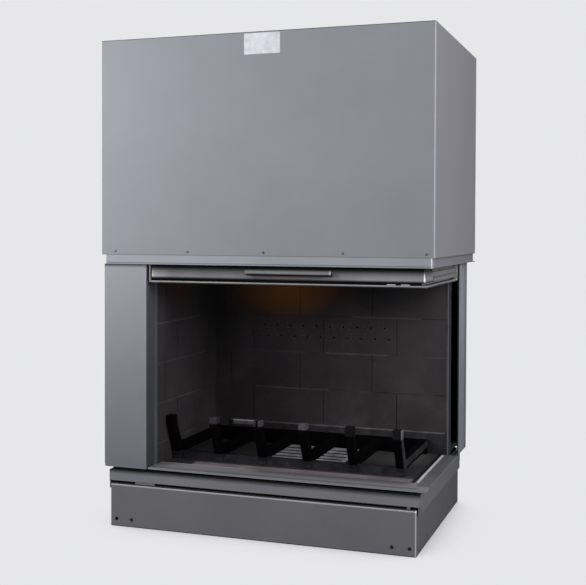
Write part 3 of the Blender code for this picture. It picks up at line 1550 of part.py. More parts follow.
def make_skirt():
    """The strip below the casing: flush with it below, and behind it above."""
    tongue = SHEET + FIT_GAP
    section = [
        (0, SKIRT_BOTTOM),
        (SHEET, SKIRT_BOTTOM),
        (SHEET, CASING_BOTTOM - SHEET - FIT_GAP),
        (tongue + SHEET, CASING_BOTTOM - SHEET - FIT_GAP),
        (tongue + SHEET, CASING_BOTTOM + SKIRT_TONGUE),
        (tongue, CASING_BOTTOM + SKIRT_TONGUE),
        (tongue, CASING_BOTTOM - FIT_GAP),
        (0, CASING_BOTTOM - FIT_GAP),
    ]
    left = LEFT + SKIRT_LEFT_INSET
    prism(
        "skirt_front",
        [(FRONT + inward, height) for inward, height in section],
        "x",
        (left, RIGHT - SKIRT_RIGHT_INSET),
        "steel_grey",
    )
    face = RIGHT - SKIRT_RIGHT_INSET
    inner = face - SHEET
    side_top = CASING_BOTTOM + SKIRT_TONGUE
    tab = RIGHT - SHEET - FIT_GAP
    side_section = [
        (inner, SKIRT_BOTTOM),
        (face, SKIRT_BOTTOM),
        (face, CASING_BOTTOM + FIT_GAP),
        (tab, CASING_BOTTOM + FIT_GAP + SHEET),
        (tab, side_top),
        (tab - SHEET, side_top),
        (tab - SHEET, CASING_BOTTOM + SHEET * 2),
        (inner, CASING_BOTTOM + SHEET),
    ]
    start = FRONT + SHEET * 2 + FIT_GAP * 2
    side = prism("skirt_side", side_section, "y", (start, REAR - SHEET - FIT_GAP), "steel_grey")
    tip = block(
        "skirt_tip",
        (inner + SHEET / 2, face + SKIRT_TIP),
        (REAR - SHEET - FIT_GAP - SKIRT_TONGUE, REAR - SHEET - FIT_GAP),
        (SKIRT_BOTTOM, SKIRT_BOTTOM + SHEET),
        "steel_grey",
    )
    join(side, tip)


def make_casing():
    """The covers, the front one with its upright edges rounded."""
    z = (CASING_BOTTOM, CASING_TOP)
    inner_front = FRONT + SHEET + FIT_GAP
    inner_rear = REAR - SHEET - FIT_GAP
    outline = [(RIGHT, FRONT + SHEET), (LEFT, FRONT + SHEET)]
    outline += arc((LEFT + CASING_EDGE, FRONT + CASING_EDGE), CASING_EDGE, 180, 270, CORNER_STEPS)
    outline += arc((RIGHT - CASING_EDGE, FRONT + CASING_EDGE), CASING_EDGE, 270, 360, CORNER_STEPS)
    prism("casing_front", outline, "z", z, "steel_grey")
    block("casing_left", (LEFT, LEFT + SHEET), (inner_front, REAR), z, "steel_grey")
    block("casing_right", (RIGHT - SHEET, RIGHT), (inner_front, REAR), z, "steel_grey")
    inner_left = LEFT + SHEET + FIT_GAP
    inner_right = RIGHT - SHEET - FIT_GAP
    block("casing_rear", (inner_left, inner_right), (REAR - SHEET, REAR), z, "steel_grey")
    top = block(
        "casing_top",
        (inner_left, inner_right),
        (inner_front, inner_rear),
        (CASING_CEILING, CASING_TOP),
        "steel_grey",
    )
    hole = rods(
        "flue_hole",
        FLUE_RADIUS + FLUE_HOLE_GAP,
        [((FLUE_X, FLUE_Y, CASING_CEILING - OVERRUN), (FLUE_X, FLUE_Y, CASING_TOP + OVERRUN))],
        FLUE_SIDES,
        "steel_grey",
    )
    cut(top, hole)


# Log grate


def dog_section(y):
    """Side view of a fire dog: a foot, a shank that leans forward, and an upright head."""
    foot_front = y
    foot_rear = y + DOG_FOOT_DEPTH
    head_front = y - DOG_LEAN
    head_rear = head_front + DOG_HEAD_DEPTH
    top = FLOOR_REST + DOG_HEIGHT
    chin = top - DOG_HEAD_HEIGHT
    return [
        (foot_front, FLOOR_REST),
        (foot_rear, FLOOR_REST),
        (foot_rear, FLOOR_REST + FRONT_RAIL_HEIGHT),
        (head_rear + DOG_BEVEL, chin - DOG_BEVEL),
        (head_rear, top),
        (head_front, top),
        (head_front, chin),
        (foot_front, FLOOR_REST + FRONT_RAIL_HEIGHT / 2),
    ]


def make_log_grate():
    front = HEARTH_FRONT + LOG_GRATE_FRONT
    rear = FIRE_PLATE_FRONT - LOG_GRATE_REAR_GAP
    left = CHAMBER_LEFT + LOG_GRATE_LEFT
    right = left + DOG_PITCH * (DOGS - 1) + DOG_WIDTH
    ends = (left + DOG_BEVEL * 2, right - DOG_BEVEL * 2)
    bottom = FLOOR_REST + FIT_GAP
    grate = block(
        "log_grate",
        ends,
        (front + DOG_BEVEL * 2, front + FRONT_RAIL_DEPTH),
        (bottom, FLOOR_REST + FRONT_RAIL_HEIGHT),
        "cast_iron",
    )
    rear_rail = block(
        "log_grate_rear_rail",
        ends,
        (rear - REAR_RAIL_DEPTH, rear),
        (FLOOR_REST, FLOOR_REST + REAR_RAIL_HEIGHT),
        "cast_iron",
    )
    centres = [left + DOG_WIDTH / 2 + DOG_PITCH * i for i in range(DOGS)]
    bar_top = FLOOR_REST + REAR_RAIL_HEIGHT - FIT_GAP
    bars = [
        (
            (x - BAR_WIDTH / 2, x + BAR_WIDTH / 2),
            (front + FRONT_RAIL_DEPTH / 2, rear - REAR_RAIL_DEPTH / 2),
            (bar_top - BAR_HEIGHT, bar_top),
        )
        for x in centres
    ]
    join(grate, rear_rail)
    join(grate, blocks("log_grate_bars", bars, "cast_iron"))
    for i, x in enumerate(centres):
        span = (x - DOG_WIDTH / 2, x + DOG_WIDTH / 2)
        dog = prism(f"fire_dog_{i + 1}", dog_section(front), "x", span, "cast_iron")
        join(grate, bevel(dog, DOG_BEVEL))
    return grate


def make_lift_out_pieces():
    """The grates and the pan, which lift out of the hearth."""
    centre_x = (GRATE_X[0] + GRATE_X[1]) / 2
    centre_y = (GRATE_Y[0] + GRATE_Y[1]) / 2
    log_empty = joint_empty("log_grate_lift", (centre_x, centre_y, FLOOR_REST))
    grate_empty = joint_empty("ash_grate_lift", (centre_x, centre_y, GRATE_BOTTOM))
    pan_empty = joint_empty("ash_pan_lift", (centre_x, centre_y, WELL_BOTTOM))
    carried_by(log_empty, [make_log_grate()])
    carried_by(grate_empty, [make_ash_grate()])
    carried_by(pan_empty, [make_ash_pan()])


def main():
    make_plinth()
    make_hearth_frame()
    make_floor_carrier()
    make_landing()
    make_hearth_floor()
    make_ash_well()
    make_back_lining()
    make_left_lining()
    make_fire_plate()
    make_shell()
    make_lintel()
    make_baffle()
    make_smoke_hood()
    make_flue_collar()
    make_column_cover()
    make_rear_cover()
    make_upright()
    make_guide_post()
    make_guide_channel()
    make_door()
    make_lifting_gear()
    make_skirt()
    make_casing()
    make_lift_out_pieces()


main()
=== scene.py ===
import math

import bmesh
import bpy
import numpy as np
from bpy.props import FloatProperty, FloatVectorProperty, IntProperty, PointerProperty
from mathutils import Matrix, Vector


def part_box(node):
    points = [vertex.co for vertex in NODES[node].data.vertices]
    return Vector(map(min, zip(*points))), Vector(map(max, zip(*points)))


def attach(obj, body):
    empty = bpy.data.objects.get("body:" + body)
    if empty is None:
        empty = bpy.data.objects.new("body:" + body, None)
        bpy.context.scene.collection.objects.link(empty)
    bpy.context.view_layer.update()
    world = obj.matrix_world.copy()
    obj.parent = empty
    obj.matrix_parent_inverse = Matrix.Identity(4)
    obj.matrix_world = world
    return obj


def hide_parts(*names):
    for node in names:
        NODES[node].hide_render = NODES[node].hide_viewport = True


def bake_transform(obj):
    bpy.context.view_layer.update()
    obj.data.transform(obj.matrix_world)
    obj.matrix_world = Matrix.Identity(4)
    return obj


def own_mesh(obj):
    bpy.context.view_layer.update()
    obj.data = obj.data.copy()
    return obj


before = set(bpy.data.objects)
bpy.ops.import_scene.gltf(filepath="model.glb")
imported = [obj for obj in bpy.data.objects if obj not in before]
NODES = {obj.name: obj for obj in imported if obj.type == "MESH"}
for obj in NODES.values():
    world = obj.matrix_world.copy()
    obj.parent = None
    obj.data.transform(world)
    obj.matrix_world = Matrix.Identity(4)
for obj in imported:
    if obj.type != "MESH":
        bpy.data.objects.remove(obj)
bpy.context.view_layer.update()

bl_info = {
    "name": "Corner Fireplace Insert",
    "version": (1, 0, 0),
    "blender": (4, 5, 0),
    "location": "View3D > Sidebar > Fireplace",
    "description": "Dresses a corner fireplace in painted sheet, firebrick, cast iron and glass",
    "category": "Object",
}

PHOTO_WIDTH = 586
# The camera: focal length and vertical shift in pixels, place, and yaw, pitch and roll in degrees.
LENS_PIXELS = 1050.01
SHIFT_PIXELS = -40.0
CAMERA_PLACE = (1.0046, -2.9333, 0.8412)
CAMERA_ANGLES = (19.0869, -1.2768, 0.1921)
X, Y, Z = 0, 1, 2
LOW, HIGH = 0, 1
# The lining's brick joints: the height of a course, and the place of one bed joint.
COURSE = 0.114
FIRST_BED = 0.230


# ---- Sizes and colours a user can change ----


class FireplacePaintSettings(bpy.types.PropertyGroup):
    casing: FloatVectorProperty(
        name="Casing paint",
        description="Silver grey paint of the upper casing",
        subtype="COLOR",
        default=(0.262, 0.270, 0.300),
    )
    column: FloatVectorProperty(
        name="Column paint",
        description="Paint of the cover on the left of the fire",
        subtype="COLOR",
        default=(0.262, 0.270, 0.296),
    )
    # The base and landing colours are the casing's paint, darkened as painted shade.
    base: FloatVectorProperty(
        name="Base paint",
        description="Darker paint of the plinth",
        subtype="COLOR",
        default=(0.163, 0.160, 0.173),
    )
    landing: FloatVectorProperty(
        name="Landing paint",
        description="Paint of the hearth frame and the landing",
        subtype="COLOR",
        default=(0.205, 0.205, 0.220),
    )
    speckle: FloatProperty(
        name="Speckle size",
        description="Size of the fine texture in the paint",
        default=0.0011,
        min=0.0002,
        unit="LENGTH",
    )


class FireplaceFireSettings(bpy.types.PropertyGroup):
    brick: FloatVectorProperty(
        name="Firebrick",
        description="Colour of the sooty chamotte lining",
        subtype="COLOR",
        default=(0.031, 0.027, 0.030),
    )
    iron: FloatVectorProperty(
        name="Cast iron",
        description="Colour of the log grate",
        subtype="COLOR",
        default=(0.0014, 0.0013, 0.0015),
    )
    ash_grate: FloatVectorProperty(
        name="Ash grate",
        description="Colour of the grate in the hearth",
        subtype="COLOR",
        default=(0.42, 0.41, 0.43),
    )


class FireplaceFixingSettings(bpy.types.PropertyGroup):
    screw_radius: FloatProperty(
        name="Screw head radius",
        description="Radius of the casing's pan-head screws",
        default=0.0034,
        min=0.001,
        unit="LENGTH",
    )
    screw_count: IntProperty(
        name="Casing screws",
        description="Screws along the lower edge of the casing's front",
        default=5,
        min=2,
    )
    screw_pitch: FloatProperty(
        name="Screw pitch",
        description="Distance between two casing screws",
        default=0.2215,
        min=0.01,
        unit="LENGTH",
    )


class FireplaceStageSettings(bpy.types.PropertyGroup):
    backdrop: FloatProperty(
        name="Backdrop level",
        description="Grey level of the floor and the backdrop",
        subtype="FACTOR",
        default=0.799,
        min=0.0,
        max=1.0,
    )
    key_power: FloatProperty(
        name="Key light",
        description="Power of the soft light at the front left",
        default=25.5,
        min=0.0,
        unit="POWER",
    )
    fill_power: FloatProperty(
        name="Fill light",
        description="Power of the soft light on the right",
        default=24.5,
        min=0.0,
        unit="POWER",
    )
    top_power: FloatProperty(
        name="Top light",
        description="Power of the soft light above",
        default=13.0,
        min=0.0,
        unit="POWER",
    )
    world_strength: FloatProperty(
        name="Ambient level",
        description="Strength of the even light from all round",
        default=0.32,
        min=0.0,
    )


# ---- Materials ----

# How many clouds, streaks or grains of each texture lie along a metre.
PAINT_CLOUDS = 3.2
SHEET_WAVES = 1.7
STEEL_STREAKS = 90.0
STEEL_PATCHES = 14.0
SOOT_BLOTCHES = 7.0
SOOT_TONES = 4.5
BRICK_PITS = 240.0
BRICK_DUST = 34.0
JOINT_PALE_SPOTS = 5.0
CHALK_SPECKS = 170.0
IRON_SKIN = 420.0
IRON_WEAR = 26.0
GLASS_FILM = 5.0
SEAL_STRANDS = 140.0
GRAIN_ALONG_X = (1.0, 40.0, 40.0)
WHITE = (1.0, 1.0, 1.0)
GLASS = (0.9, 0.93, 0.93)


def add_node(owner, kind, inputs=(), **settings):
    """Adds a shader node to a material or a world; inputs are rows of (socket, value or link)."""
    node = owner.node_tree.nodes.new("ShaderNode" + kind)
    for key, value in settings.items():
        setattr(node, key, value)
    for socket, value in inputs:
        if isinstance(value, bpy.types.NodeSocket):
            owner.node_tree.links.new(value, node.inputs[socket])
        else:
            node.inputs[socket].default_value = value
    return node


def shader_of(material):
    return material.node_tree.nodes["Principled BSDF"]


def new_material(name, colour, roughness, metallic=0.0, gloss=0.5):
    """A Principled material whose plain values sit on the shader's own sockets."""
    material = bpy.data.materials.new(name)
    material.use_nodes = True
    sockets = shader_of(material).inputs
    sockets["Base Color"].default_value = (*colour, 1.0)
    sockets["Roughness"].default_value = roughness
    sockets["Metallic"].default_value = metallic
    sockets["Specular IOR Level"].default_value = gloss
    material.diffuse_color = (*colour, 1.0)
    return material


def feed(material, socket, value):
    """Links a pattern to one of the shader's sockets."""
    material.node_tree.links.new(value, shader_of(material).inputs[socket])


def object_place(owner):
    return add_node(owner, "TexCoord").outputs["Object"]


def coordinates(material, scale=(1.0, 1.0, 1.0), shift=(0.0, 0.0, 0.0)):
    """Object coordinates, stretched along each axis, then shifted."""
    rows = [("Vector", object_place(material)), ("Location", shift), ("Scale", scale)]
    return add_node(material, "Mapping", rows).outputs["Vector"]


def noise(material, scale, detail, roughness=0.5, stretch=(1.0, 1.0, 1.0)):
    """Noise over Object coordinates, in 1/metres."""
    rows = [("Vector", coordinates(material, stretch)), ("Scale", scale)]
    rows += [("Detail", detail), ("Roughness", roughness)]
    return add_node(material, "TexNoise", rows).outputs["Fac"]


def ramp(material, value, stops):
    """Turns a value into a colour or a grey by stops of (place, colour)."""
    node = add_node(material, "ValToRGB", [("Fac", value)])
    band = node.color_ramp
    for i, (place, colour) in enumerate(stops):
        stop = band.elements[i] if i < 2 else band.elements.new(place)
        stop.position = place
        stop.color = (*colour, 1.0)
    return node.outputs["Color"]


def mixed(material, first, second, factor, blend="MIX"):
    """Blends two colours; each may be a link or a colour, and the factor a link or a number."""
    rows = [(0, factor)]
    for socket, value in ((6, first), (7, second)):
        rows.append((socket, (*value, 1.0) if isinstance(value, tuple) else value))
    return add_node(material, "Mix", rows, data_type="RGBA", blend_type=blend).outputs[2]


def level(material, value, low, high, out_low=0.0, out_high=1.0):
    """Maps a value from one range to another, and holds it there."""
    rows = [("Value", value), ("From Min", low), ("From Max", high)]
    rows += [("To Min", out_low), ("To Max", out_high)]
    return add_node(material, "MapRange", rows).outputs["Result"]


def maths(owner, operation, first, second):
    """Two values put together, such as MULTIPLY or MAXIMUM."""
    return add_node(owner, "Math", [(0, first), (1, second)], operation=operation).outputs[0]


def place_along(material, axis):
    """How far a point lies along X, Y or Z, in metres."""
    return add_node(material, "SeparateXYZ", [("Vector", object_place(material))]).outputs[axis]


def within(material, spans, soft):
    """1 inside a box of {axis: (low, high)}, falling to 0 over a soft border."""
    mask = None
    for axis, (low, high) in spans.items():
        place = place_along(material, axis)
        rise = level(material, place, low - soft, low)
        fall = level(material, place, high, high + soft, 1.0, 0.0)
        both = maths(material, "MULTIPLY", rise, fall)
        mask = both if mask is None else maths(material, "MULTIPLY", mask, both)
    return mask


def blob(material, centre, radii):
    """1 at a centre, falling evenly to 0 on the ellipsoid with these radii."""
    shift = [-c / r for c, r in zip(centre, radii)]
    place = coordinates(material, [1 / r for r in radii], shift)
    distance = add_node(material, "VectorMath", [(0, place)], operation="LENGTH")
    return level(material, distance.outputs["Value"], 0.0, 1.0, 1.0, 0.0)


def edge(node, axis, side, depth):
    """The outermost strip of a CAD node along an axis, at its LOW or its HIGH side."""
    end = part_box(node)[side][axis]
    return (end - depth, end + depth)


def marked(material, colour, marks):
    """Makes a colour lighter or darker in places: rows of (factor, soft border, {axis: span})."""
    for factor, soft, spans in marks:
        mask = within(material, spans, soft)
        colour = mixed(material, colour, (factor,) * 3, mask, "MULTIPLY")
    return colour


def faded(material, colour, axis, span, stops):
    """Makes a colour lighter or darker along an axis, by stops of (share of the span, factor)."""
    share = level(material, place_along(material, axis), *span)
    top = max(factor for _, factor in stops)
    shade = ramp(material, share, [(place, (factor / top,) * 3) for place, factor in stops])
    colour = mixed(material, colour, shade, 1.0, "MULTIPLY")
    return mixed(material, colour, (top,) * 3, 1.0, "MULTIPLY")


def set_bump(material, height, distance, strength, under=None):
    """Raises a surface's shading by a height, over another bump if there is one."""
    rows = [("Height", height), ("Distance", distance), ("Strength", strength)]
    if under is not None:
        rows.append(("Normal", under))
    normal = add_node(material, "Bump", rows).outputs["Normal"]
    feed(material, "Normal", normal)
    return normal


def tinted(colour, factor):
    return tuple(min(1.0, channel * factor) for channel in colour)


def painted_sheet(
    name, colour, speckle, roughness=0.5, metallic=0.1, gloss=0.1, marks=(), fade=None, cloud=0.07
):
    """Silver heat-proof paint on sheet steel: fine speckle, faint clouds and slight waves in the
    sheet, with painted highlights and painted shade at edges and along a fade."""
    material = new_material(name, colour, roughness, metallic, gloss)
    grain = noise(material, 1 / speckle, 2.0)
    clouds = noise(material, PAINT_CLOUDS, 4.0, 0.6)
    tints = [(0.3, tinted(colour, 1 - cloud)), (0.7, tinted(colour, 1 + cloud))]
    flecks = ramp(material, grain, [(0.35, (0.9, 0.9, 0.9)), (0.65, WHITE)])
    shade = mixed(material, ramp(material, clouds, tints), flecks, 0.8, "MULTIPLY")
    if fade:
        shade = faded(material, shade, *fade)
    feed(material, "Base Color", marked(material, shade, marks))
    rough = level(material, clouds, 0.3, 0.7, roughness - 0.05, roughness + 0.05)
    feed(material, "Roughness", rough)
    wave = set_bump(material, noise(material, SHEET_WAVES, 1.0), 0.004, 0.25)
    set_bump(material, grain, 0.00008, 0.6, wave)
    return material


def brushed_metal(
    name, colour, roughness, stretch=GRAIN_ALONG_X, metallic=0.6, gloss=0.5, marks=(), fades=()
):
    """Ground steel, with fine streaks along one axis and dull patches where it was handled;
    its marks and fades are painted highlights and painted shade.
    """
    material = new_material(name, colour, roughness, metallic, gloss)
    streaks = noise(material, STEEL_STREAKS, 4.0, 0.6, stretch)
    patches = noise(material, STEEL_PATCHES, 3.0)
    shade = ramp(material, streaks, [(0.3, tinted(colour, 0.82)), (0.7, tinted(colour, 1.12))])
    dull = ramp(material, patches, [(0.35, (0.86, 0.85, 0.85)), (0.65, WHITE)])
    shade = mixed(material, shade, dull, 0.9, "MULTIPLY")
    for fade in fades:
        shade = faded(material, shade, *fade)
    feed(material, "Base Color", marked(material, shade, marks))
    rough = level(material, patches, 0.3, 0.7, roughness + 0.1, roughness - 0.06)
    feed(material, "Roughness", rough)
    set_bump(material, streaks, 0.00006, 0.5)
    return material


def sooty_brick(name, colour, first_bed, patches, marks, chalk=()):
    """Chamotte that fires have darkened: pitted, blotched with soot, with pale dust here and
    there, and pale lines along the bed joints where one joint's height is given. Patches are rows
    of (colour, most of it, centre, radii), here also used for painted light and painted shade;
    chalk is rows of (centre, radii) where light specks lie."""
    material = new_material(name, colour, 0.92)
    blotches = noise(material, SOOT_BLOTCHES, 5.0, 0.65)
    pits = noise(material, BRICK_PITS, 3.0, 0.6)
    dust = noise(material, BRICK_DUST, 6.0, 0.7)
    tints = [(0.28, tinted(colour, 0.55)), (0.5, colour), (0.74, tinted(colour, 1.75))]
    tones = [(0.36, (1.0, 0.96, 0.87)), (0.62, (1.0, 0.92, 1.0))]
    tone = ramp(material, noise(material, SOOT_TONES, 2.0), tones)
    shade = mixed(material, ramp(material, blotches, tints), tone, 1.0, "MULTIPLY")
    pale = level(material, dust, 0.62, 0.8, 0.0, 0.35)
    shade = mixed(material, shade, tinted(colour, 3.2), pale)
    for tint, most, centre, radii in patches:
        place = level(material, blob(material, centre, radii), 0.0, 0.9, 0.0, most)
        shade = mixed(material, shade, tint, place)
    shade = marked(material, shade, marks)
    specks = level(material, noise(material, CHALK_SPECKS, 3.0), 0.56, 0.68, 0.0, 0.7)
    for centre, radii in chalk:
        place = maths(material, "MULTIPLY", specks, blob(material, centre, radii))
        shade = mixed(material, shade, tinted(colour, 4.5), place)
    if first_bed is not None:
        above = maths(material, "SUBTRACT", place_along(material, Z), first_bed)
        course = maths(material, "PINGPONG", above, COURSE / 2)
        line = level(material, course, 0.0012, 0.0032, 1.0, 0.0)
        here = level(material, noise(material, JOINT_PALE_SPOTS, 2.0), 0.5, 0.6, 0.0, 0.45)
        pale_joint = maths(material, "MULTIPLY", line, here)
        shade = mixed(material, shade, tinted(colour, 3.6), pale_joint)
    feed(material, "Base Color", shade)
    rough = set_bump(material, blotches, 0.0012, 0.5)
    set_bump(material, pits, 0.0005, 0.7, rough)
    return material


def cast_metal(name, colour, roughness, metallic=0.5, marks=(), gloss=0.2):
    """Sand-cast iron: a coarse skin with worn, lighter high spots."""
    material = new_material(name, colour, roughness, metallic, gloss)
    skin = noise(material, IRON_SKIN, 3.0, 0.6)
    wear = noise(material, IRON_WEAR, 4.0, 0.6)
    shade = ramp(material, wear, [(0.35, tinted(colour, 0.7)), (0.72, tinted(colour, 1.6))])
    feed(material, "Base Color", marked(material, shade, marks))
    rough = level(material, skin, 0.3, 0.7, roughness - 0.12, roughness + 0.12)
    feed(material, "Roughness", rough)
    set_bump(material, skin, 0.0004, 0.8)
    return material


def pane(name):
    """Clear heat-proof glass, painted black along its lower edge up to the door's rail as painted
    shade.
    """
    material = new_material(name, GLASS, 0.02, gloss=0.08)
    shader_of(material).inputs["IOR"].default_value = 1.47
    border = within(material, {Z: (0.69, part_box("door_front_rail")[LOW].z)}, 0.0003)
    feed(material, "Base Color", mixed(material, GLASS, (0.0, 0.0, 0.0), border))
    feed(material, "Transmission Weight", level(material, border, 0.0, 1.0, 1.0, 0.0))
    film = noise(material, GLASS_FILM, 3.0)
    feed(material, "Roughness", level(material, film, 0.35, 0.7, 0.0, 0.012))
    return material


def braided(name, colour):
    """Woven glass-fibre rope: crossing strands at the scale of a seal."""
    material = new_material(name, colour, 0.95)
    strands = []
    for stretch in ((1.0, 1.0, 1.0), (-1.0, 1.0, 1.0)):
        rows = [("Vector", coordinates(material, stretch)), ("Scale", SEAL_STRANDS)]
        rows.append(("Distortion", 1.5))
        wave = add_node(material, "TexWave", rows, wave_type="BANDS", bands_direction="DIAGONAL")
        strands.append(wave.outputs["Color"])
    weave = mixed(material, *strands, 1.0, "MULTIPLY")
    shade = mixed(material, tinted(colour, 0.6), tinted(colour, 1.5), weave)
    feed(material, "Base Color", shade)
    set_bump(material, weave, 0.0008, 0.8)
    return material


def wire_metal(name):
    """The wire ropes' steel, with its streaks along Z."""
    return brushed_metal(name, (0.4, 0.4, 0.42), 0.4, (1.0, 1.0, 6.0))


def paint_node(material, *names):
    """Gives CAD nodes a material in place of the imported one."""
    for name in names:
        for slot in NODES[name].material_slots:
            slot.material = material


# ---- Surfaces ----

SMOOTH_DEGREES = 35.0


def surface(name, grid, wrap_rows=False, wrap_columns=False, caps=False):
    """A mesh from a grid of points: grid[i, j] is the point at the i-th step of one parameter and
    the j-th of the other. Quads join neighbours, a wrapped parameter closes on itself, and caps
    close the first and the last row."""
    rows, columns, _ = grid.shape
    i = np.arange(rows if wrap_rows else rows - 1)
    j = np.arange(columns if wrap_columns else columns - 1)
    i, j = [index.ravel() for index in np.meshgrid(i, j, indexing="ij")]
    here, above = i * columns, (i + 1) % rows * columns
    beside = (j + 1) % columns
    quads = np.stack([here + j, here + beside, above + beside, above + j], axis=1)
    faces = quads.tolist()
    if caps:
        faces.append(np.arange(columns)[::-1].tolist())
        faces.append((np.arange(columns) + (rows - 1) * columns).tolist())
    mesh = bpy.data.meshes.new(name)
    mesh.from_pydata(grid.reshape(-1, 3).tolist(), [], faces)
    mesh.validate()
    mesh.shade_smooth()
    mesh.set_sharp_from_angle(angle=math.radians(SMOOTH_DEGREES))
    piece = bpy.data.objects.new(name, mesh)
    bpy.context.scene.collection.objects.link(piece)
    return outward(piece)


def outward(piece):
    """Turns a closed piece's faces so that they point out."""
    bm = bmesh.new()
    bm.from_mesh(piece.data)
    bmesh.ops.recalc_face_normals(bm, faces=bm.faces)
    bm.to_mesh(piece.data)
    bm.free()
    return piece


def carried_profile(profile, path):
    """Grid of a profile of (inward, height) points carried along a path in plan, with mitred
    corners: each path point's ring is the point plus the mitre direction times the profile's
    inward value."""
    path = np.asarray(path, float)
    profile = np.asarray(profile, float)
    way = np.diff(path, axis=0)
    way /= np.linalg.norm(way, axis=1)[:, None]
    side = np.stack([-way[:, 1], way[:, 0]], axis=1)
    before = np.vstack([side[:1], side])
    after = np.vstack([side, side[-1:]])
    mitre = before + after
    mitre /= np.linalg.norm(mitre, axis=1)[:, None]
    mitre /= np.sum(mitre * before, axis=1)[:, None]
    plan = path[:, None, :] + mitre[:, None, :] * profile[None, :, :1]
    height = np.broadcast_to(profile[None, :, 1:], (len(path), len(profile), 1))
    return np.concatenate([plan, height], axis=2)


def turned_grid(profile, centre, along, steps):
    """Grid of a profile of (radius, along) points turned about an axis through a centre: each
    point is the centre, plus the radius times the cosine and the sine of the angle along two
    directions square to the axis, plus its distance along the axis."""
    profile = np.asarray(profile, float)
    angle = np.linspace(0, 2 * np.pi, steps, endpoint=False)
    along = np.asarray(along, float)
    along /= np.linalg.norm(along)
    helper = np.array([0.0, 0.0, 1.0]) if abs(along[2]) < 0.9 else np.array([1.0, 0.0, 0.0])
    u = np.cross(helper, along)
    u /= np.linalg.norm(u)
    v = np.cross(along, u)
    ring = np.cos(angle)[None, :, None] * u + np.sin(angle)[None, :, None] * v
    return np.asarray(centre, float) + profile[:, None, :1] * ring + profile[:, None, 1:] * along


def together(name, pieces):
    """Joins like pieces into one object."""
    with bpy.context.temp_override(active_object=pieces[0], selected_editable_objects=pieces):
        bpy.ops.object.join()
    pieces[0].name = name
    return pieces[0]


def screw_head(name, centre, along, radius):
    """A domed screw head with a round socket sunk in it: a profile whose radius falls with the
    cosine and whose height grows with the sine of an angle, and that drops into the socket."""
    rise = radius * 0.55
    crown_share = 0.72
    dome = [
        (radius * math.cos(t * math.pi / 2 * crown_share), rise * math.sin(t * math.pi / 2))
        for t in np.linspace(0, 1, 7)
    ]
    top = dome[-1][1]
    socket = radius * 0.34
    profile = [(radius, -0.0002)] + dome
    profile += [(socket, top), (socket * 0.96, top * 0.35), (0.00001, top * 0.3)]
    return surface(name, turned_grid(profile, centre, along, 24), wrap_columns=True, caps=True)


# ---- Operators ----

# Painted light and shade over a part or a fold: rows of (share of its height or length, factor).
COLUMN_PAINTED_LIGHT = [(0.0, 0.62), (0.45, 0.86), (1.0, 1.12)]
FRAME_PAINTED_LIGHT = [(0.0, 0.03), (0.34, 0.06), (0.46, 0.85), (0.78, 0.85), (0.95, 0.25), (1.0, 0.8)]
HANDLE_PAINTED_LIGHT = [
    (0.0, 0.01), (0.14, 0.05), (0.32, 0.75), (0.45, 1.0), (0.7, 0.75), (0.88, 0.4), (1.0, 0.06),
]
RAIL_PAINTED_LIGHT = [
    (0.0, 0.03), (0.05, 0.1), (0.12, 0.65), (0.2, 1.0), (0.28, 0.92), (0.39, 0.78),
    (0.53, 0.55), (0.6, 0.4), (0.67, 0.24), (0.75, 0.09), (0.82, 0.03), (1.0, 0.0),
]
RAIL_LENGTH_PAINTED_LIGHT = [
    (0.0, 1.4), (0.006, 1.0), (0.02, 0.8), (0.07, 0.55), (0.2, 0.45), (0.45, 0.52),
    (0.74, 0.62), (0.9, 0.74), (1.0, 0.66),
]


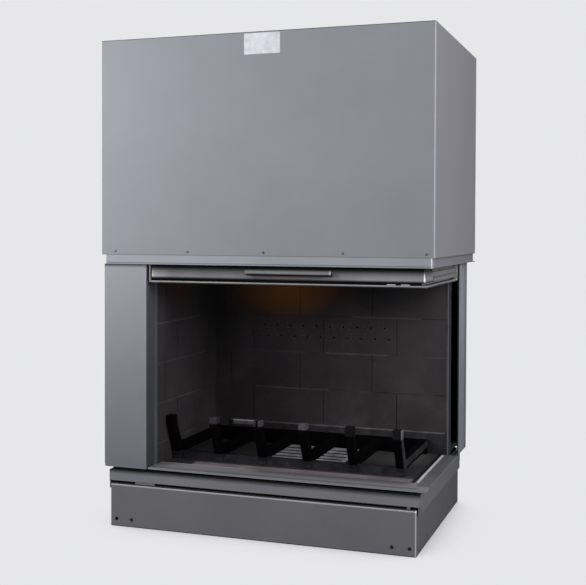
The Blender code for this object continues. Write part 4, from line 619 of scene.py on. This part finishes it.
class FIREPLACE_OT_paint_covers(bpy.types.Operator):
    """Paints the sheet covers, the plinth and the landing"""

    bl_idname = "fireplace.paint_covers"
    bl_label = "Paint Covers"

    def execute(self, context):
        paint = context.scene.fireplace_paint
        casing, column = tuple(paint.casing), tuple(paint.column)
        landing, base = tuple(paint.landing), tuple(paint.base)

        def cover(name, colour, nodes, marks=(), roughness=0.6, shine=0.1, fade=None):
            size = paint.speckle
            sheet = painted_sheet(name, colour, size, roughness, shine, shine, marks, fade)
            paint_node(sheet, *nodes)

        cover("casing_paint", casing, ["casing_front"], [
            # a painted highlight on the corner fold, and painted shade lines at the top and the
            # bottom
            (1.8, 0.0005, {X: edge("casing_front", X, HIGH, 0.002)}),
            (0.45, 0.0006, {Z: edge("casing_front", Z, HIGH, 0.0018)}),
            (0.72, 0.0006, {Z: edge("casing_front", Z, LOW, 0.0014)}),
        ])
        cover("cover_paint", casing, ["casing_left", "casing_rear", "casing_top"])
        # The right face has the casing's paint darkened as painted shade.
        casing_side = (casing[0] * 0.93, casing[1] * 0.86, casing[2] * 0.88)
        cover("casing_side_paint", casing_side, ["casing_right"], [
            # a painted highlight behind the front corner, a painted shade line at the lower edge
            (1.35, 0.002, {Y: edge("casing_right", Y, LOW, 0.008)}),
            (0.8, 0.0006, {Z: edge("casing_right", Z, LOW, 0.0014)}),
        ])
        # The skirt has the casing's paint made lighter as painted light.
        cover("skirt_paint", tinted(casing, 1.22), ["skirt_front"], [
            # painted shade under the casing, and a painted highlight on the right end
            (0.6, 0.0012, {Z: (0.745, 0.747)}),
            (2.6, 0.0008, {X: edge("skirt_front", X, HIGH, 0.0024)}),
        ])
        # The skirt's right face has the casing's paint darkened as painted shade,
        skirt_side = (casing[0] * 0.95, casing[1] * 0.9, casing[2] * 0.92)
        cover("skirt_side_paint", skirt_side, ["skirt_side"], [
            # with a painted highlight near the front corner
            (1.4, 0.004, {Y: edge("skirt_side", Y, LOW, 0.02)}),
        ], shine=0.0)
        post_front = edge("guide_post", Y, LOW, 0.001)
        cover("post_paint", tinted(column, 1.05), ["guide_post", "rear_cover"], [
            # painted shade on the slot's side, and the slot painted dark as it lies in shade
            (0.55, 0.0004, {X: (0.42, 0.4236), Y: post_front}),
            (0.17, 0.0004, {X: (0.4242, 0.431), Y: post_front}),
            # painted shade at the outer seam and at its rear end, and painted light on the upper
            # part
            (0.1, 0.006, {X: (0.449, 0.46), Y: (0.164, 0.174)}),
            (0.75, 0.02, {X: (0.449, 0.46), Y: (0.28, 0.32)}),
            (1.25, 0.25, {Z: (0.6, 0.8), Y: post_front}),
        ], shine=0.0)
        jamb_front = edge("left_jamb", Y, LOW, 0.001)
        # The jamb has the column's paint darkened as painted shade;
        cover("jamb_paint", tinted(column, 0.62), ["left_jamb"], [
            # a painted highlight on the fold, and painted shade at the edge
            (1.5, 0.0005, {X: edge("left_jamb", X, HIGH, 0.0042), Y: jamb_front}),
            (0.25, 0.0004, {X: edge("left_jamb", X, HIGH, 0.0018), Y: jamb_front}),
        ])
        low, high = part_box("column_cover")
        behind_fold = (low.y + 0.003, high.y)
        cover("column_paint", column, ["column_cover"], [
            # painted shade under the skirt and on the return beside the fire
            (0.12, 0.01, {Z: edge("column_cover", Z, HIGH, 0.001)}),
            (0.42, 0.001, {X: edge("column_cover", X, HIGH, 0.0012), Y: behind_fold}),
        # painted light and shade: darker at the foot, lighter at the head
        ], 0.5, fade=(Z, (low.z, high.z), COLUMN_PAINTED_LIGHT))
        low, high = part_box("hearth_frame")
        step = edge("hearth_frame", Y, LOW, 0.012)
        right_side = (-0.29, 0.3)
        cover("frame_paint", landing, ["hearth_frame"], [
            # the shade on the step under the ledge, deep and then soft
            (0.05, 0.003, {Z: (0.1625, high.z - 0.0008), Y: step}),
            (0.3, 0.009, {Z: (0.156, high.z), Y: step}),
            # painted shade on the right side, behind the post's foot and on the lower fold
            (0.95, 0.001, {X: edge("hearth_frame", X, HIGH, 0.002), Y: right_side}),
            (0.05, 0.001, {X: (0.42, 0.4335), Y: (0.18, 0.31), Z: (0.167, 0.17)}),
            (0.75, 0.0006, {Z: (low.z, 0.128), Y: edge("hearth_frame", Y, LOW, 0.03)}),
        ], 0.65, 0.0)
        cover("ledge_paint", tinted(landing, 1.05), ["threshold_ledge"], [
            # the front strip and the shade before the lip
            (0.66, 0.004, {Y: (-0.298, -0.286), X: (-0.33, 0.43)}),
            (0.5, 0.03, {Y: (-0.245, -0.23), X: (-0.02, 0.38)}),
            # on the right: a painted highlight along the glass and the duller strip outside it
            (3.2, 0.0014, {X: (0.414, 0.419), Y: (-0.225, 0.128)}),
            (0.6, 0.003, {X: (0.4225, 0.458), Y: (-0.262, 0.14)}),
        ], 0.55)
        corner = edge("plinth_front", X, HIGH, 0.0026)
        cover("base_paint", base, ["plinth_front", "plinth_right", "plinth_left", "plinth_rear"], [
            # painted shade on the right side
            (0.95, 0.001, {X: edge("plinth_right", X, HIGH, 0.001), Y: right_side}),
            # painted highlights on the upper fold and the corner, painted shade above the fold and
            # along the foot
            (2.6, 0.0008, {Z: (0.1155, 0.1185), Y: edge("plinth_front", Y, LOW, 0.004)}),
            (0.3, 0.0006, {Z: (0.1192, 0.1215), Y: edge("plinth_front", Y, LOW, 0.02)}),
            (2.8, 0.0008, {X: corner, Y: edge("plinth_front", Y, LOW, 0.003)}),
            (0.4, 0.001, {Z: edge("plinth_front", Z, LOW, 0.0014)}),
        ], 0.65, 0.0)
        return {"FINISHED"}


class FIREPLACE_OT_line_chamber(bpy.types.Operator):
    """Finishes the firebrick lining, the baffle and the steel shell behind them"""

    bl_idname = "fireplace.line_chamber"
    bl_label = "Line Fire Chamber"

    def execute(self, context):
        colour = tuple(context.scene.fireplace_fire.brick)
        warm_brown = (0.24, 0.088, 0.018)
        soot_and_shade = (0.008, 0.007, 0.009)
        back = 0.166
        side = -0.327
        side_skin = (-0.34, -0.325)
        brick = sooty_brick("sooty_firebrick", colour, FIRST_BED, [
            # soot and painted shade in the left corner and under the baffle, with red-brown in it
            (soot_and_shade, 0.95, (-0.305, back, 0.6), (0.085, 0.1, 0.26)),
            ((0.045, 0.034, 0.04), 0.6, (-0.12, back, 0.5), (0.16, 0.1, 0.12)),
            (soot_and_shade, 0.95, (0.17, back, 0.65), (0.21, 0.1, 0.075)),
            ((0.05, 0.012, 0.01), 0.8, (0.07, back, 0.655), (0.09, 0.1, 0.06)),
            # the side wall, painted lighter at its front and darker with soot and painted shade at
            # its rear
            (tinted(colour, 1.9), 0.6, (side, -0.22, 0.6), (0.05, 0.07, 0.12)),
            ((0.06, 0.018, 0.012), 0.8, (side, -0.11, 0.665), (0.05, 0.12, 0.07)),
            (soot_and_shade, 0.9, (side, 0.1, 0.62), (0.05, 0.11, 0.16)),
            # painted light on the right of the back wall and low on the side wall
            (tinted(colour, 2.4), 0.5, (0.4, back, 0.62), (0.06, 0.1, 0.22)),
            (tinted(colour, 1.7), 0.45, (0.31, back, 0.47), (0.16, 0.12, 0.2)),
            (tinted(colour, 1.6), 0.5, (side, -0.06, 0.47), (0.05, 0.16, 0.2)),
            # the warm red-brown patch under the baffle
            (tinted(warm_brown, 0.42), 0.9, (-0.11, back, 0.64), (0.2, 0.1, 0.1)),
            (warm_brown, 1.0, (-0.085, back, 0.65), (0.17, 0.1, 0.085)),
        ], [
            # pale lines in parts of the bed joints
            (3.2, 0.0015, {Z: (0.3425, 0.3455), X: (-0.19, 0.05)}),
            (2.6, 0.0015, {Z: (0.457, 0.4595), X: (0.04, 0.235)}),
            (2.6, 0.0015, {Z: (0.571, 0.5735), X: (0.17, 0.34)}),
            (3.0, 0.0015, {Z: (0.571, 0.5735), X: side_skin, Y: (-0.24, 0.04)}),
            (2.4, 0.0015, {Z: (0.3425, 0.345), X: side_skin, Y: (-0.25, 0.04)}),
        ], [
            ((-0.11, back, 0.525), (0.16, 0.1, 0.06)),
            ((0.12, back, 0.53), (0.16, 0.1, 0.05)),
        ])
        paint_node(brick, "back_lining_lower", "back_lining_upper", "baffle_plate")
        paint_node(brick, "left_lining_lower", "left_lining_upper")
        low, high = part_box("hearth_plate_right")
        hearth = sooty_brick(
            "hearth_firebrick",
            tinted(colour, 0.2),
            None,
            [((0.1, 0.096, 0.096), 0.8, (0.31, 0.08, 0.171), (0.11, 0.14, 0.1))],
            [
                # the lighter strip behind the lip, and painted shade along the right edge
                (20.0, 0.004, {Y: (low.y, -0.178), X: (-0.24, high.x)}),
                (0.15, 0.0006, {X: edge("hearth_plate_right", X, HIGH, 0.001)}),
            ],
        )
        paint_node(hearth, "hearth_plate_left", "hearth_plate_right")
        # A painted highlight on the rear upright's edge.
        upright_highlight = (2.6, 0.0006, {X: (0.416, 0.42), Y: (0.16, 0.168)})
        shell = cast_metal("shell_steel", (0.03, 0.03, 0.034), 0.6, marks=[upright_highlight])
        paint_node(shell, "firebox_back", "firebox_left", "lintel_frame", "smoke_hood")
        paint_node(shell, "floor_carrier", "ash_well", "rear_upright")
        plate = cast_metal(
            "fire_plate_steel", (0.034, 0.032, 0.035), 0.6,
            marks=[
                # a painted highlight along the upper edge, brighter on the left
                (4.0, 0.0008, {Z: edge("rear_fire_plate", Z, HIGH, 0.0025)}),
                (6.0, 0.004, {Z: edge("rear_fire_plate", Z, HIGH, 0.011), X: (-0.262, -0.19)}),
            ],
        )
        paint_node(plate, "rear_fire_plate")
        return {"FINISHED"}


class FIREPLACE_OT_finish_grates(bpy.types.Operator):
    """Finishes the log grate, the ash grate and the ash pan"""

    bl_idname = "fireplace.finish_grates"
    bl_label = "Finish Grates"

    def execute(self, context):
        fire = context.scene.fireplace_fire
        iron = cast_metal(
            "cast_iron_skin", tuple(fire.iron), 0.7, 0.0, [
                # painted light on the front bar, and painted highlights on the heads and the right
                # edge
                (17.5, 0.001, {Z: (0.15, 0.1935), Y: (-0.2, -0.14)}),
                (24.0, 0.003, {Z: (0.29, 0.31), X: (-0.2, -0.05)}),
                (45.0, 0.003, {Z: (0.29, 0.31), X: (-0.04, 0.12)}),
                (6.0, 0.003, {Z: (0.28, 0.31), X: (0.16, 0.37)}),
                (20.0, 0.0004, {X: edge("log_grate", X, HIGH, 0.001), Z: (0.1945, 0.31)}),
            ], 0.03,
        )
        # painted shade on the sides of the ash grate's slots
        slot_shade = (0.1, 0.0002, {Z: (0.158, 0.1706)})
        light = cast_metal("ash_grate_skin", tuple(fire.ash_grate), 0.5, 0.1, [slot_shade])
        paint_node(iron, "log_grate", "left_counterweight", "rear_counterweight")
        paint_node(light, "ash_grate")
        pan = painted_sheet("pan_zinc", (0.2, 0.2, 0.21), 0.004, 0.45, 0.7, cloud=0.2)
        paint_node(pan, "ash_pan")
        return {"FINISHED"}


class FIREPLACE_OT_finish_door(bpy.types.Operator):
    """Finishes the door's frame, glass, seal and lifting gear"""

    bl_idname = "fireplace.finish_door"
    bl_label = "Finish Door"

    def execute(self, context):
        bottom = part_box("door_front_frame")[LOW].z
        # Painted light and shade across the lower strip of both door frames.
        strip = (Z, (bottom, bottom + 0.0075), FRAME_PAINTED_LIGHT)
        # The front frame's left edge is painted dark as in shade.
        frame_metal = brushed_metal(
            "door_frame_steel", (0.42, 0.4, 0.4), 0.45, metallic=0.1, gloss=0.2,
            marks=[(0.03, 0.0004, {X: edge("door_front_frame", X, LOW, 0.0024)})],
            fades=[strip],
        )
        # The side frame has the front frame's steel darkened as painted shade, with painted light
        # at its rear end.
        side_metal = brushed_metal(
            "door_side_steel", (0.24, 0.235, 0.24), 0.45, metallic=0.1, gloss=0.2,
            marks=[(2.6, 0.002, {Y: (0.14, 0.17)})],
            fades=[strip],
        )
        # The handle gets a painted highlight on its right end and painted light and shade over its
        # height.
        low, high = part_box("door_handle")
        handle = brushed_metal(
            "handle_steel", (0.25, 0.25, 0.265), 0.5, metallic=0.0, gloss=0.1,
            marks=[(2.4, 0.0004, {X: (high.x - 0.0026, high.x + 0.001)})],
            fades=[(Z, (low.z, high.z), HANDLE_PAINTED_LIGHT)],
        )
        side_rail = painted_sheet(
            "side_rail_paint",
            (0.15, 0.148, 0.155),
            0.0011,
            marks=[
                # painted shade on the upper edge, along the seam between the two folds and on the
                # lower edge
                (0.2, 0.001, {Z: (0.7285, 0.75), X: (0.445, 0.46), Y: (-0.2, 0.05)}),
                (0.25, 0.0008, {Z: (0.7128, 0.7146)}),
                (0.55, 0.001, {Z: (0.73, 0.742), Y: (-0.2, 0.14)}),
                (0.3, 0.0006, {Z: (0.7, 0.7045)}),
            ],
        )
        paint_node(frame_metal, "door_front_frame")
        paint_node(side_metal, "door_side_frame")
        paint_node(side_rail, "door_side_rail")
        paint_node(handle, "door_handle")
        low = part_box("ember_lip")[LOW]
        lip_front = (low.y - 0.001, low.y + 0.004)
        lip = brushed_metal(
            "lip_steel", (0.78, 0.78, 0.8), 0.4, metallic=0.0, gloss=0.3,
            marks=[
                # painted shade on the lip's front face, darker towards the right
                (0.32, 0.001, {Y: lip_front, X: (low.x, 0.411)}),
                (0.45, 0.08, {Y: lip_front, X: (-0.02, 0.411)}),
            ],
        )
        paint_node(lip, "ember_lip")
        # The guide channel is painted near-black, standing in for the shade in its slot.
        along_z = (40.0, 40.0, 1.0)
        guide = brushed_metal("guide_steel", (0.012, 0.012, 0.013), 0.5, along_z)
        paint_node(guide, "guide_channel")
        gear = cast_metal("gear_steel", (0.07, 0.07, 0.075), 0.5)
        paint_node(gear, "door_rear_stile", "door_carriage", "left_pulley", "rear_pulley")
        paint_node(gear, "left_pulley_bracket", "rear_pulley_bracket")
        paint_node(pane("heat_proof_glass"), "front_glass", "side_glass")
        paint_node(braided("seal_rope", (0.08, 0.08, 0.085)), "door_seal")
        paint_node(wire_metal("wire_rope"), "left_rope_bend", "rear_rope_bend")
        return {"FINISHED"}


class FIREPLACE_OT_add_ropes(bpy.types.Operator):
    """Adds the straight runs of wire rope, which grow and shrink as the door moves"""

    bl_idname = "fireplace.add_ropes"
    bl_label = "Add Wire Ropes"

    def execute(self, context):
        wire = wire_metal("rope_strands")
        for side in ("left", "rear"):
            for load in ("door", "weight"):
                node = f"{side}_{load}_rope"
                low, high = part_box(node)
                x, y = (low.x + high.x) / 2, (low.y + high.y) / 2
                radius = (high.x - low.x) / 2
                # A circle carried along a straight line, in steps short enough to stretch evenly.
                profile = [(radius, z) for z in np.linspace(low.z, high.z, 49)]
                grid = turned_grid(profile, (x, y, 0), (0, 0, 1), 12)
                rope = surface(f"{side}_{load}_rope_run", grid, wrap_columns=True, caps=True)
                rope.data.materials.append(wire)
                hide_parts(node)
                if load == "door":
                    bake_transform(rope)
                else:
                    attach(rope, "firebox")
                    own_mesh(rope)
        return {"FINISHED"}


class FIREPLACE_OT_add_rail(bpy.types.Operator):
    """Adds the rounded moulding along the front of the door, and the two clips under it"""

    bl_idname = "fireplace.add_rail"
    bl_label = "Add Door Rail"

    def execute(self, context):
        low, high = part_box("door_front_rail")
        # The face leans back by a power of its height, and its foot is rounded in by a square.
        share = np.linspace(0, 1, 25)
        lean = 0.0032 * share**1.4
        rounded_foot = 0.14
        turn = 0.0035 * np.clip(1 - share / rounded_foot, 0, 1) ** 2
        depth = 0.01
        cut = 0.004
        face = np.stack([lean + turn, low.z + (high.z - low.z) * share], axis=1)
        profile = np.vstack([face, [(depth, high.z), (depth, low.z)]])
        path = [(low.x, low.y), (high.x - cut, low.y), (high.x, low.y + cut), (high.x, high.y)]
        grid = carried_profile(profile, path)
        rail = surface("door_front_moulding", grid, wrap_columns=True, caps=True)
        handle_low, handle_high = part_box("door_handle")
        handle_width = (handle_low.x, handle_high.x)
        handle_foot = (handle_low.z - 0.0015, handle_low.z + 0.004)
        front = (low.y - 0.001, low.y + 0.005)
        # Painted light and shade over the moulding's height and along its length.
        steel = brushed_metal(
            "rail_steel", (0.425, 0.417, 0.434), 0.6, metallic=0.0, gloss=0.05,
            fades=[(Z, (low.z, high.z), RAIL_PAINTED_LIGHT), (X, (low.x, high.x), RAIL_LENGTH_PAINTED_LIGHT)],
            marks=[
                # painted shade under the handle, and a painted highlight on the corner
                (0.12, 0.003, {X: handle_width, Z: handle_foot}),
                (4.6, 0.0005, {X: (high.x - 0.0036, high.x + 0.001), Y: front}),
            ],
        )
        rail.data.materials.append(steel)
        radius, length, setback, drop = 0.0016, 0.0225, 0.003, 0.0048
        clips = []
        for i, from_corner in enumerate((0.1005, 0.0635)):
            start = (high.x - from_corner, low.y + setback, low.z - drop)
            grid = turned_grid([(radius, 0.0), (radius, length)], start, (1, 0, 0), 12)
            clips.append(surface(f"rail_clip_{i}", grid, wrap_columns=True, caps=True))
        clip = together("door_rail_clips", clips)
        clip_steel = brushed_metal("clip_steel", (0.5, 0.49, 0.49), 0.4, metallic=0.2)
        clip.data.materials.append(clip_steel)
        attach(clip, "door")
        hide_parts("door_front_rail")
        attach(rail, "door")
        return {"FINISHED"}


class FIREPLACE_OT_add_collar(bpy.types.Operator):
    """Adds the round flue collar with its rolled bead"""

    bl_idname = "fireplace.add_collar"
    bl_label = "Add Flue Collar"

    def execute(self, context):
        low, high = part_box("flue_collar")
        bead_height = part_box("casing_top")[HIGH].z + 0.005
        centre = ((low.x + high.x) / 2, (low.y + high.y) / 2, 0)
        outer = 0.1
        bead = (high.x - low.x) / 2 - outer
        inner = outer - 0.003
        cut = 0.0006
        # Two upright walls with cut upper edges; the bead is a half circle on the outer one.
        roll = [
            (outer + bead * math.cos(t), bead_height + bead * math.sin(t))
            for t in np.linspace(-math.pi / 2, math.pi / 2, 13)
        ]
        profile = [(outer, low.z)] + roll + [(outer, high.z - cut), (outer - cut, high.z)]
        profile += [(inner + cut, high.z), (inner, high.z - cut), (inner, low.z)]
        grid = turned_grid(profile, centre, (0, 0, 1), 96)
        collar = surface("flue_collar_ring", grid, wrap_rows=True, wrap_columns=True)
        paint = context.scene.fireplace_paint
        coat = painted_sheet("collar_paint", tuple(paint.column), paint.speckle)
        collar.data.materials.append(coat)
        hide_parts("flue_collar")
        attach(collar, "firebox")
        return {"FINISHED"}


class FIREPLACE_OT_add_screws(bpy.types.Operator):
    """Adds the screws along the lower edge of the casing"""

    bl_idname = "fireplace.add_screws"
    bl_label = "Add Casing Screws"

    def execute(self, context):
        fixing = context.scene.fireplace_fixing
        low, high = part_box("casing_front")
        shift, rise = 0.012, 0.01
        middle = (low.x + high.x) / 2 + shift
        height = low.z + rise
        steps = np.arange(fixing.screw_count) - (fixing.screw_count - 1) / 2
        heads = [
            screw_head(f"casing_screw_{i}", (x, low.y, height), (0, -1, 0), fixing.screw_radius)
            for i, x in enumerate(middle + steps * fixing.screw_pitch)
        ]
        screws = together("casing_screws", heads)
        screws.data.materials.append(cast_metal("screw_zinc", (0.12, 0.12, 0.13), 0.4))
        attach(screws, "firebox")
        return {"FINISHED"}


class FIREPLACE_OT_add_plate(bpy.types.Operator):
    """Adds the blank plate at the top of the casing's front"""

    bl_idname = "fireplace.add_plate"
    bl_label = "Add Blank Plate"

    def execute(self, context):
        low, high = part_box("casing_front")
        left, right = -0.0445, 0.058
        bottom, top = high.z - 0.06, high.z - 0.004
        radius = 0.0025
        thickness, gap = 0.0004, 0.00002
        # A rectangle with quarter circles at its corners, drawn at two depths.
        corner = np.linspace(0, math.pi / 2, 6)
        outline = []
        for x, z, start in (
            (right - radius, top - radius, 0),
            (left + radius, top - radius, 1),
            (left + radius, bottom + radius, 2),
            (right - radius, bottom + radius, 3),
        ):
            angle = corner + start * math.pi / 2
            arc = [x + radius * np.cos(angle), z + radius * np.sin(angle)]
            outline.append(np.stack(arc, axis=1))
        outline = np.concatenate(outline)
        depths = np.array([low.y - gap, low.y - thickness])
        rows = (outline[:, 0], depths[:, None], outline[:, 1])
        grid = np.stack([np.broadcast_to(row, (2, len(outline))) for row in rows], axis=2)
        plate = surface("blank_plate", grid, wrap_columns=True, caps=True)
        film = new_material("plate_film", (0.6, 0.62, 0.66), 0.4, 0.1)
        crease = noise(film, 60.0, 2.0)
        tints = [(0.3, (0.5, 0.53, 0.58)), (0.7, (0.66, 0.68, 0.72))]
        feed(film, "Base Color", ramp(film, crease, tints))
        set_bump(film, crease, 0.0002, 0.3)
        plate.data.materials.append(film)
        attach(plate, "firebox")
        return {"FINISHED"}


def area_light(name, place, target, size, power):
    """A soft light that looks at a point."""
    data = bpy.data.lights.new(name, "AREA")
    data.shape = "RECTANGLE"
    data.size, data.size_y = size
    data.energy = power
    light = bpy.data.objects.new(name, data)
    bpy.context.scene.collection.objects.link(light)
    light.location = place
    light.visible_camera = False
    light.rotation_euler = (Vector(target) - Vector(place)).to_track_quat("-Z", "Y").to_euler()


def backdrop_grey(value):
    return (value, value, value * 1.02)


def show_two_ways(owner, output, lighting, seen):
    """Lights the object with one shader, and shows the other to the camera, also in a reflection
    or through glass."""
    path = add_node(owner, "LightPath")
    direct = path.outputs["Is Camera Ray"]
    for ray in ("Is Glossy Ray", "Is Transmission Ray"):
        direct = maths(owner, "MAXIMUM", direct, path.outputs[ray])
    rows = [(0, direct), (1, lighting.outputs[0]), (2, seen.outputs[0])]
    mix = add_node(owner, "MixShader", rows)
    add_node(owner, output, [("Surface", mix.outputs[0])])


def backdrop_material(name, value):
    """Shows one pale grey, darker where something stands close above it, and is lit like any floor
    for all other light."""
    material = bpy.data.materials.new(name)
    material.use_nodes = True
    material.node_tree.nodes.clear()
    lit = add_node(material, "BsdfDiffuse", [("Color", (0.42, 0.42, 0.425, 1.0))])
    shadow = add_node(material, "AmbientOcclusion", [("Distance", 0.22)], samples=12)
    greys = [(0.25, 0.02), (0.45, 0.72), (0.62, 0.97), (0.9, 1.0)]
    shade = ramp(material, shadow.outputs["AO"], [(place, (grey,) * 3) for place, grey in greys])
    tint = mixed(material, shade, backdrop_grey(value), 1.0, "MULTIPLY")
    glow = add_node(material, "Emission", [("Color", tint)])
    show_two_ways(material, "OutputMaterial", lit, glow)
    return material


class FIREPLACE_OT_build_stage(bpy.types.Operator):
    """Adds the floor, the lights, the world and the camera"""

    bl_idname = "fireplace.build_stage"
    bl_label = "Build Stage"

    def execute(self, context):
        stage = context.scene.fireplace_stage
        scene = context.scene
        reach, drop = 12.0, 0.0005
        sides = [-reach, reach]
        grid = np.stack(np.meshgrid(sides, sides, [-drop], indexing="ij"), axis=-1)[:, :, 0]
        floor = surface("studio_floor", grid)
        floor.data.materials.append(backdrop_material("studio_floor_grey", stage.backdrop))

        world = bpy.data.worlds.new("studio_world")
        world.use_nodes = True
        world.node_tree.nodes.clear()
        grey = (*backdrop_grey(stage.backdrop), 1.0)
        daylight = [("Color", (0.96, 0.98, 1.0, 1.0)), ("Strength", stage.world_strength)]
        around = add_node(world, "Background", daylight)
        seen = add_node(world, "Background", [("Color", grey)])
        show_two_ways(world, "OutputWorld", around, seen)
        scene.world = world

        key, fill, top = stage.key_power, stage.fill_power, stage.top_power
        area_light("key_light", (-1.35, -1.5, 1.35), (-0.1, -0.3, 1.0), (0.7, 0.9), key)
        area_light("fill_light", (2.0, -1.0, 1.5), (0.3, 0.0, 1.0), (1.0, 1.2), fill)
        area_light("top_light", (0.2, -2.0, 3.2), (0.0, -0.2, 0.4), (2.0, 1.4), top)

        data = bpy.data.cameras.new("photo_camera")
        data.sensor_width = 36.0
        data.lens = LENS_PIXELS / PHOTO_WIDTH * data.sensor_width
        data.shift_y = SHIFT_PIXELS / PHOTO_WIDTH
        data.clip_end = 50.0
        camera = bpy.data.objects.new("photo_camera", data)
        scene.collection.objects.link(camera)
        yaw, pitch, roll = [math.radians(angle) for angle in CAMERA_ANGLES]
        level_way = (-math.sin(yaw) * math.cos(pitch), math.cos(yaw) * math.cos(pitch))
        forward = Vector((*level_way, math.sin(pitch)))
        right = Vector((math.cos(yaw), math.sin(yaw), 0.0))
        up = right.cross(forward)
        tilted_right = right * math.cos(roll) + up * math.sin(roll)
        tilted_up = up * math.cos(roll) - right * math.sin(roll)
        turn = Matrix((tilted_right, tilted_up, -forward)).transposed()
        camera.matrix_world = Matrix.Translation(CAMERA_PLACE) @ turn.to_4x4()
        scene.camera = camera
        scene.view_settings.view_transform = "Standard"
        return {"FINISHED"}


STEPS = (
    FIREPLACE_OT_paint_covers,
    FIREPLACE_OT_line_chamber,
    FIREPLACE_OT_finish_grates,
    FIREPLACE_OT_finish_door,
    FIREPLACE_OT_add_ropes,
    FIREPLACE_OT_add_rail,
    FIREPLACE_OT_add_collar,
    FIREPLACE_OT_add_screws,
    FIREPLACE_OT_add_plate,
    FIREPLACE_OT_build_stage,
)


class FIREPLACE_PT_panel(bpy.types.Panel):
    """Lists the fireplace's pieces and finishes"""

    bl_label = "Fireplace"
    bl_idname = "FIREPLACE_PT_panel"
    bl_space_type = "VIEW_3D"
    bl_region_type = "UI"
    bl_category = "Fireplace"

    def draw(self, context):
        for group in ("fireplace_paint", "fireplace_fire", "fireplace_fixing", "fireplace_stage"):
            settings = getattr(context.scene, group)
            for key in settings.bl_rna.properties.keys():
                if key not in {"rna_type", "name"}:
                    self.layout.prop(settings, key)
        for step in STEPS:
            self.layout.operator(step.bl_idname)


GROUPS = {
    "fireplace_paint": FireplacePaintSettings,
    "fireplace_fire": FireplaceFireSettings,
    "fireplace_fixing": FireplaceFixingSettings,
    "fireplace_stage": FireplaceStageSettings,
}


def register():
    for name, group in GROUPS.items():
        bpy.utils.register_class(group)
        setattr(bpy.types.Scene, name, PointerProperty(type=group))
    for step in STEPS:
        bpy.utils.register_class(step)
    bpy.utils.register_class(FIREPLACE_PT_panel)


def unregister():
    bpy.utils.unregister_class(FIREPLACE_PT_panel)
    for step in reversed(STEPS):
        bpy.utils.unregister_class(step)
    for name, group in GROUPS.items():
        delattr(bpy.types.Scene, name)
        bpy.utils.unregister_class(group)


def main():
    register()
    for step in STEPS:
        area, name = step.bl_idname.split(".")
        getattr(getattr(bpy.ops, area), name)()


if __name__ == "__main__":
    main()
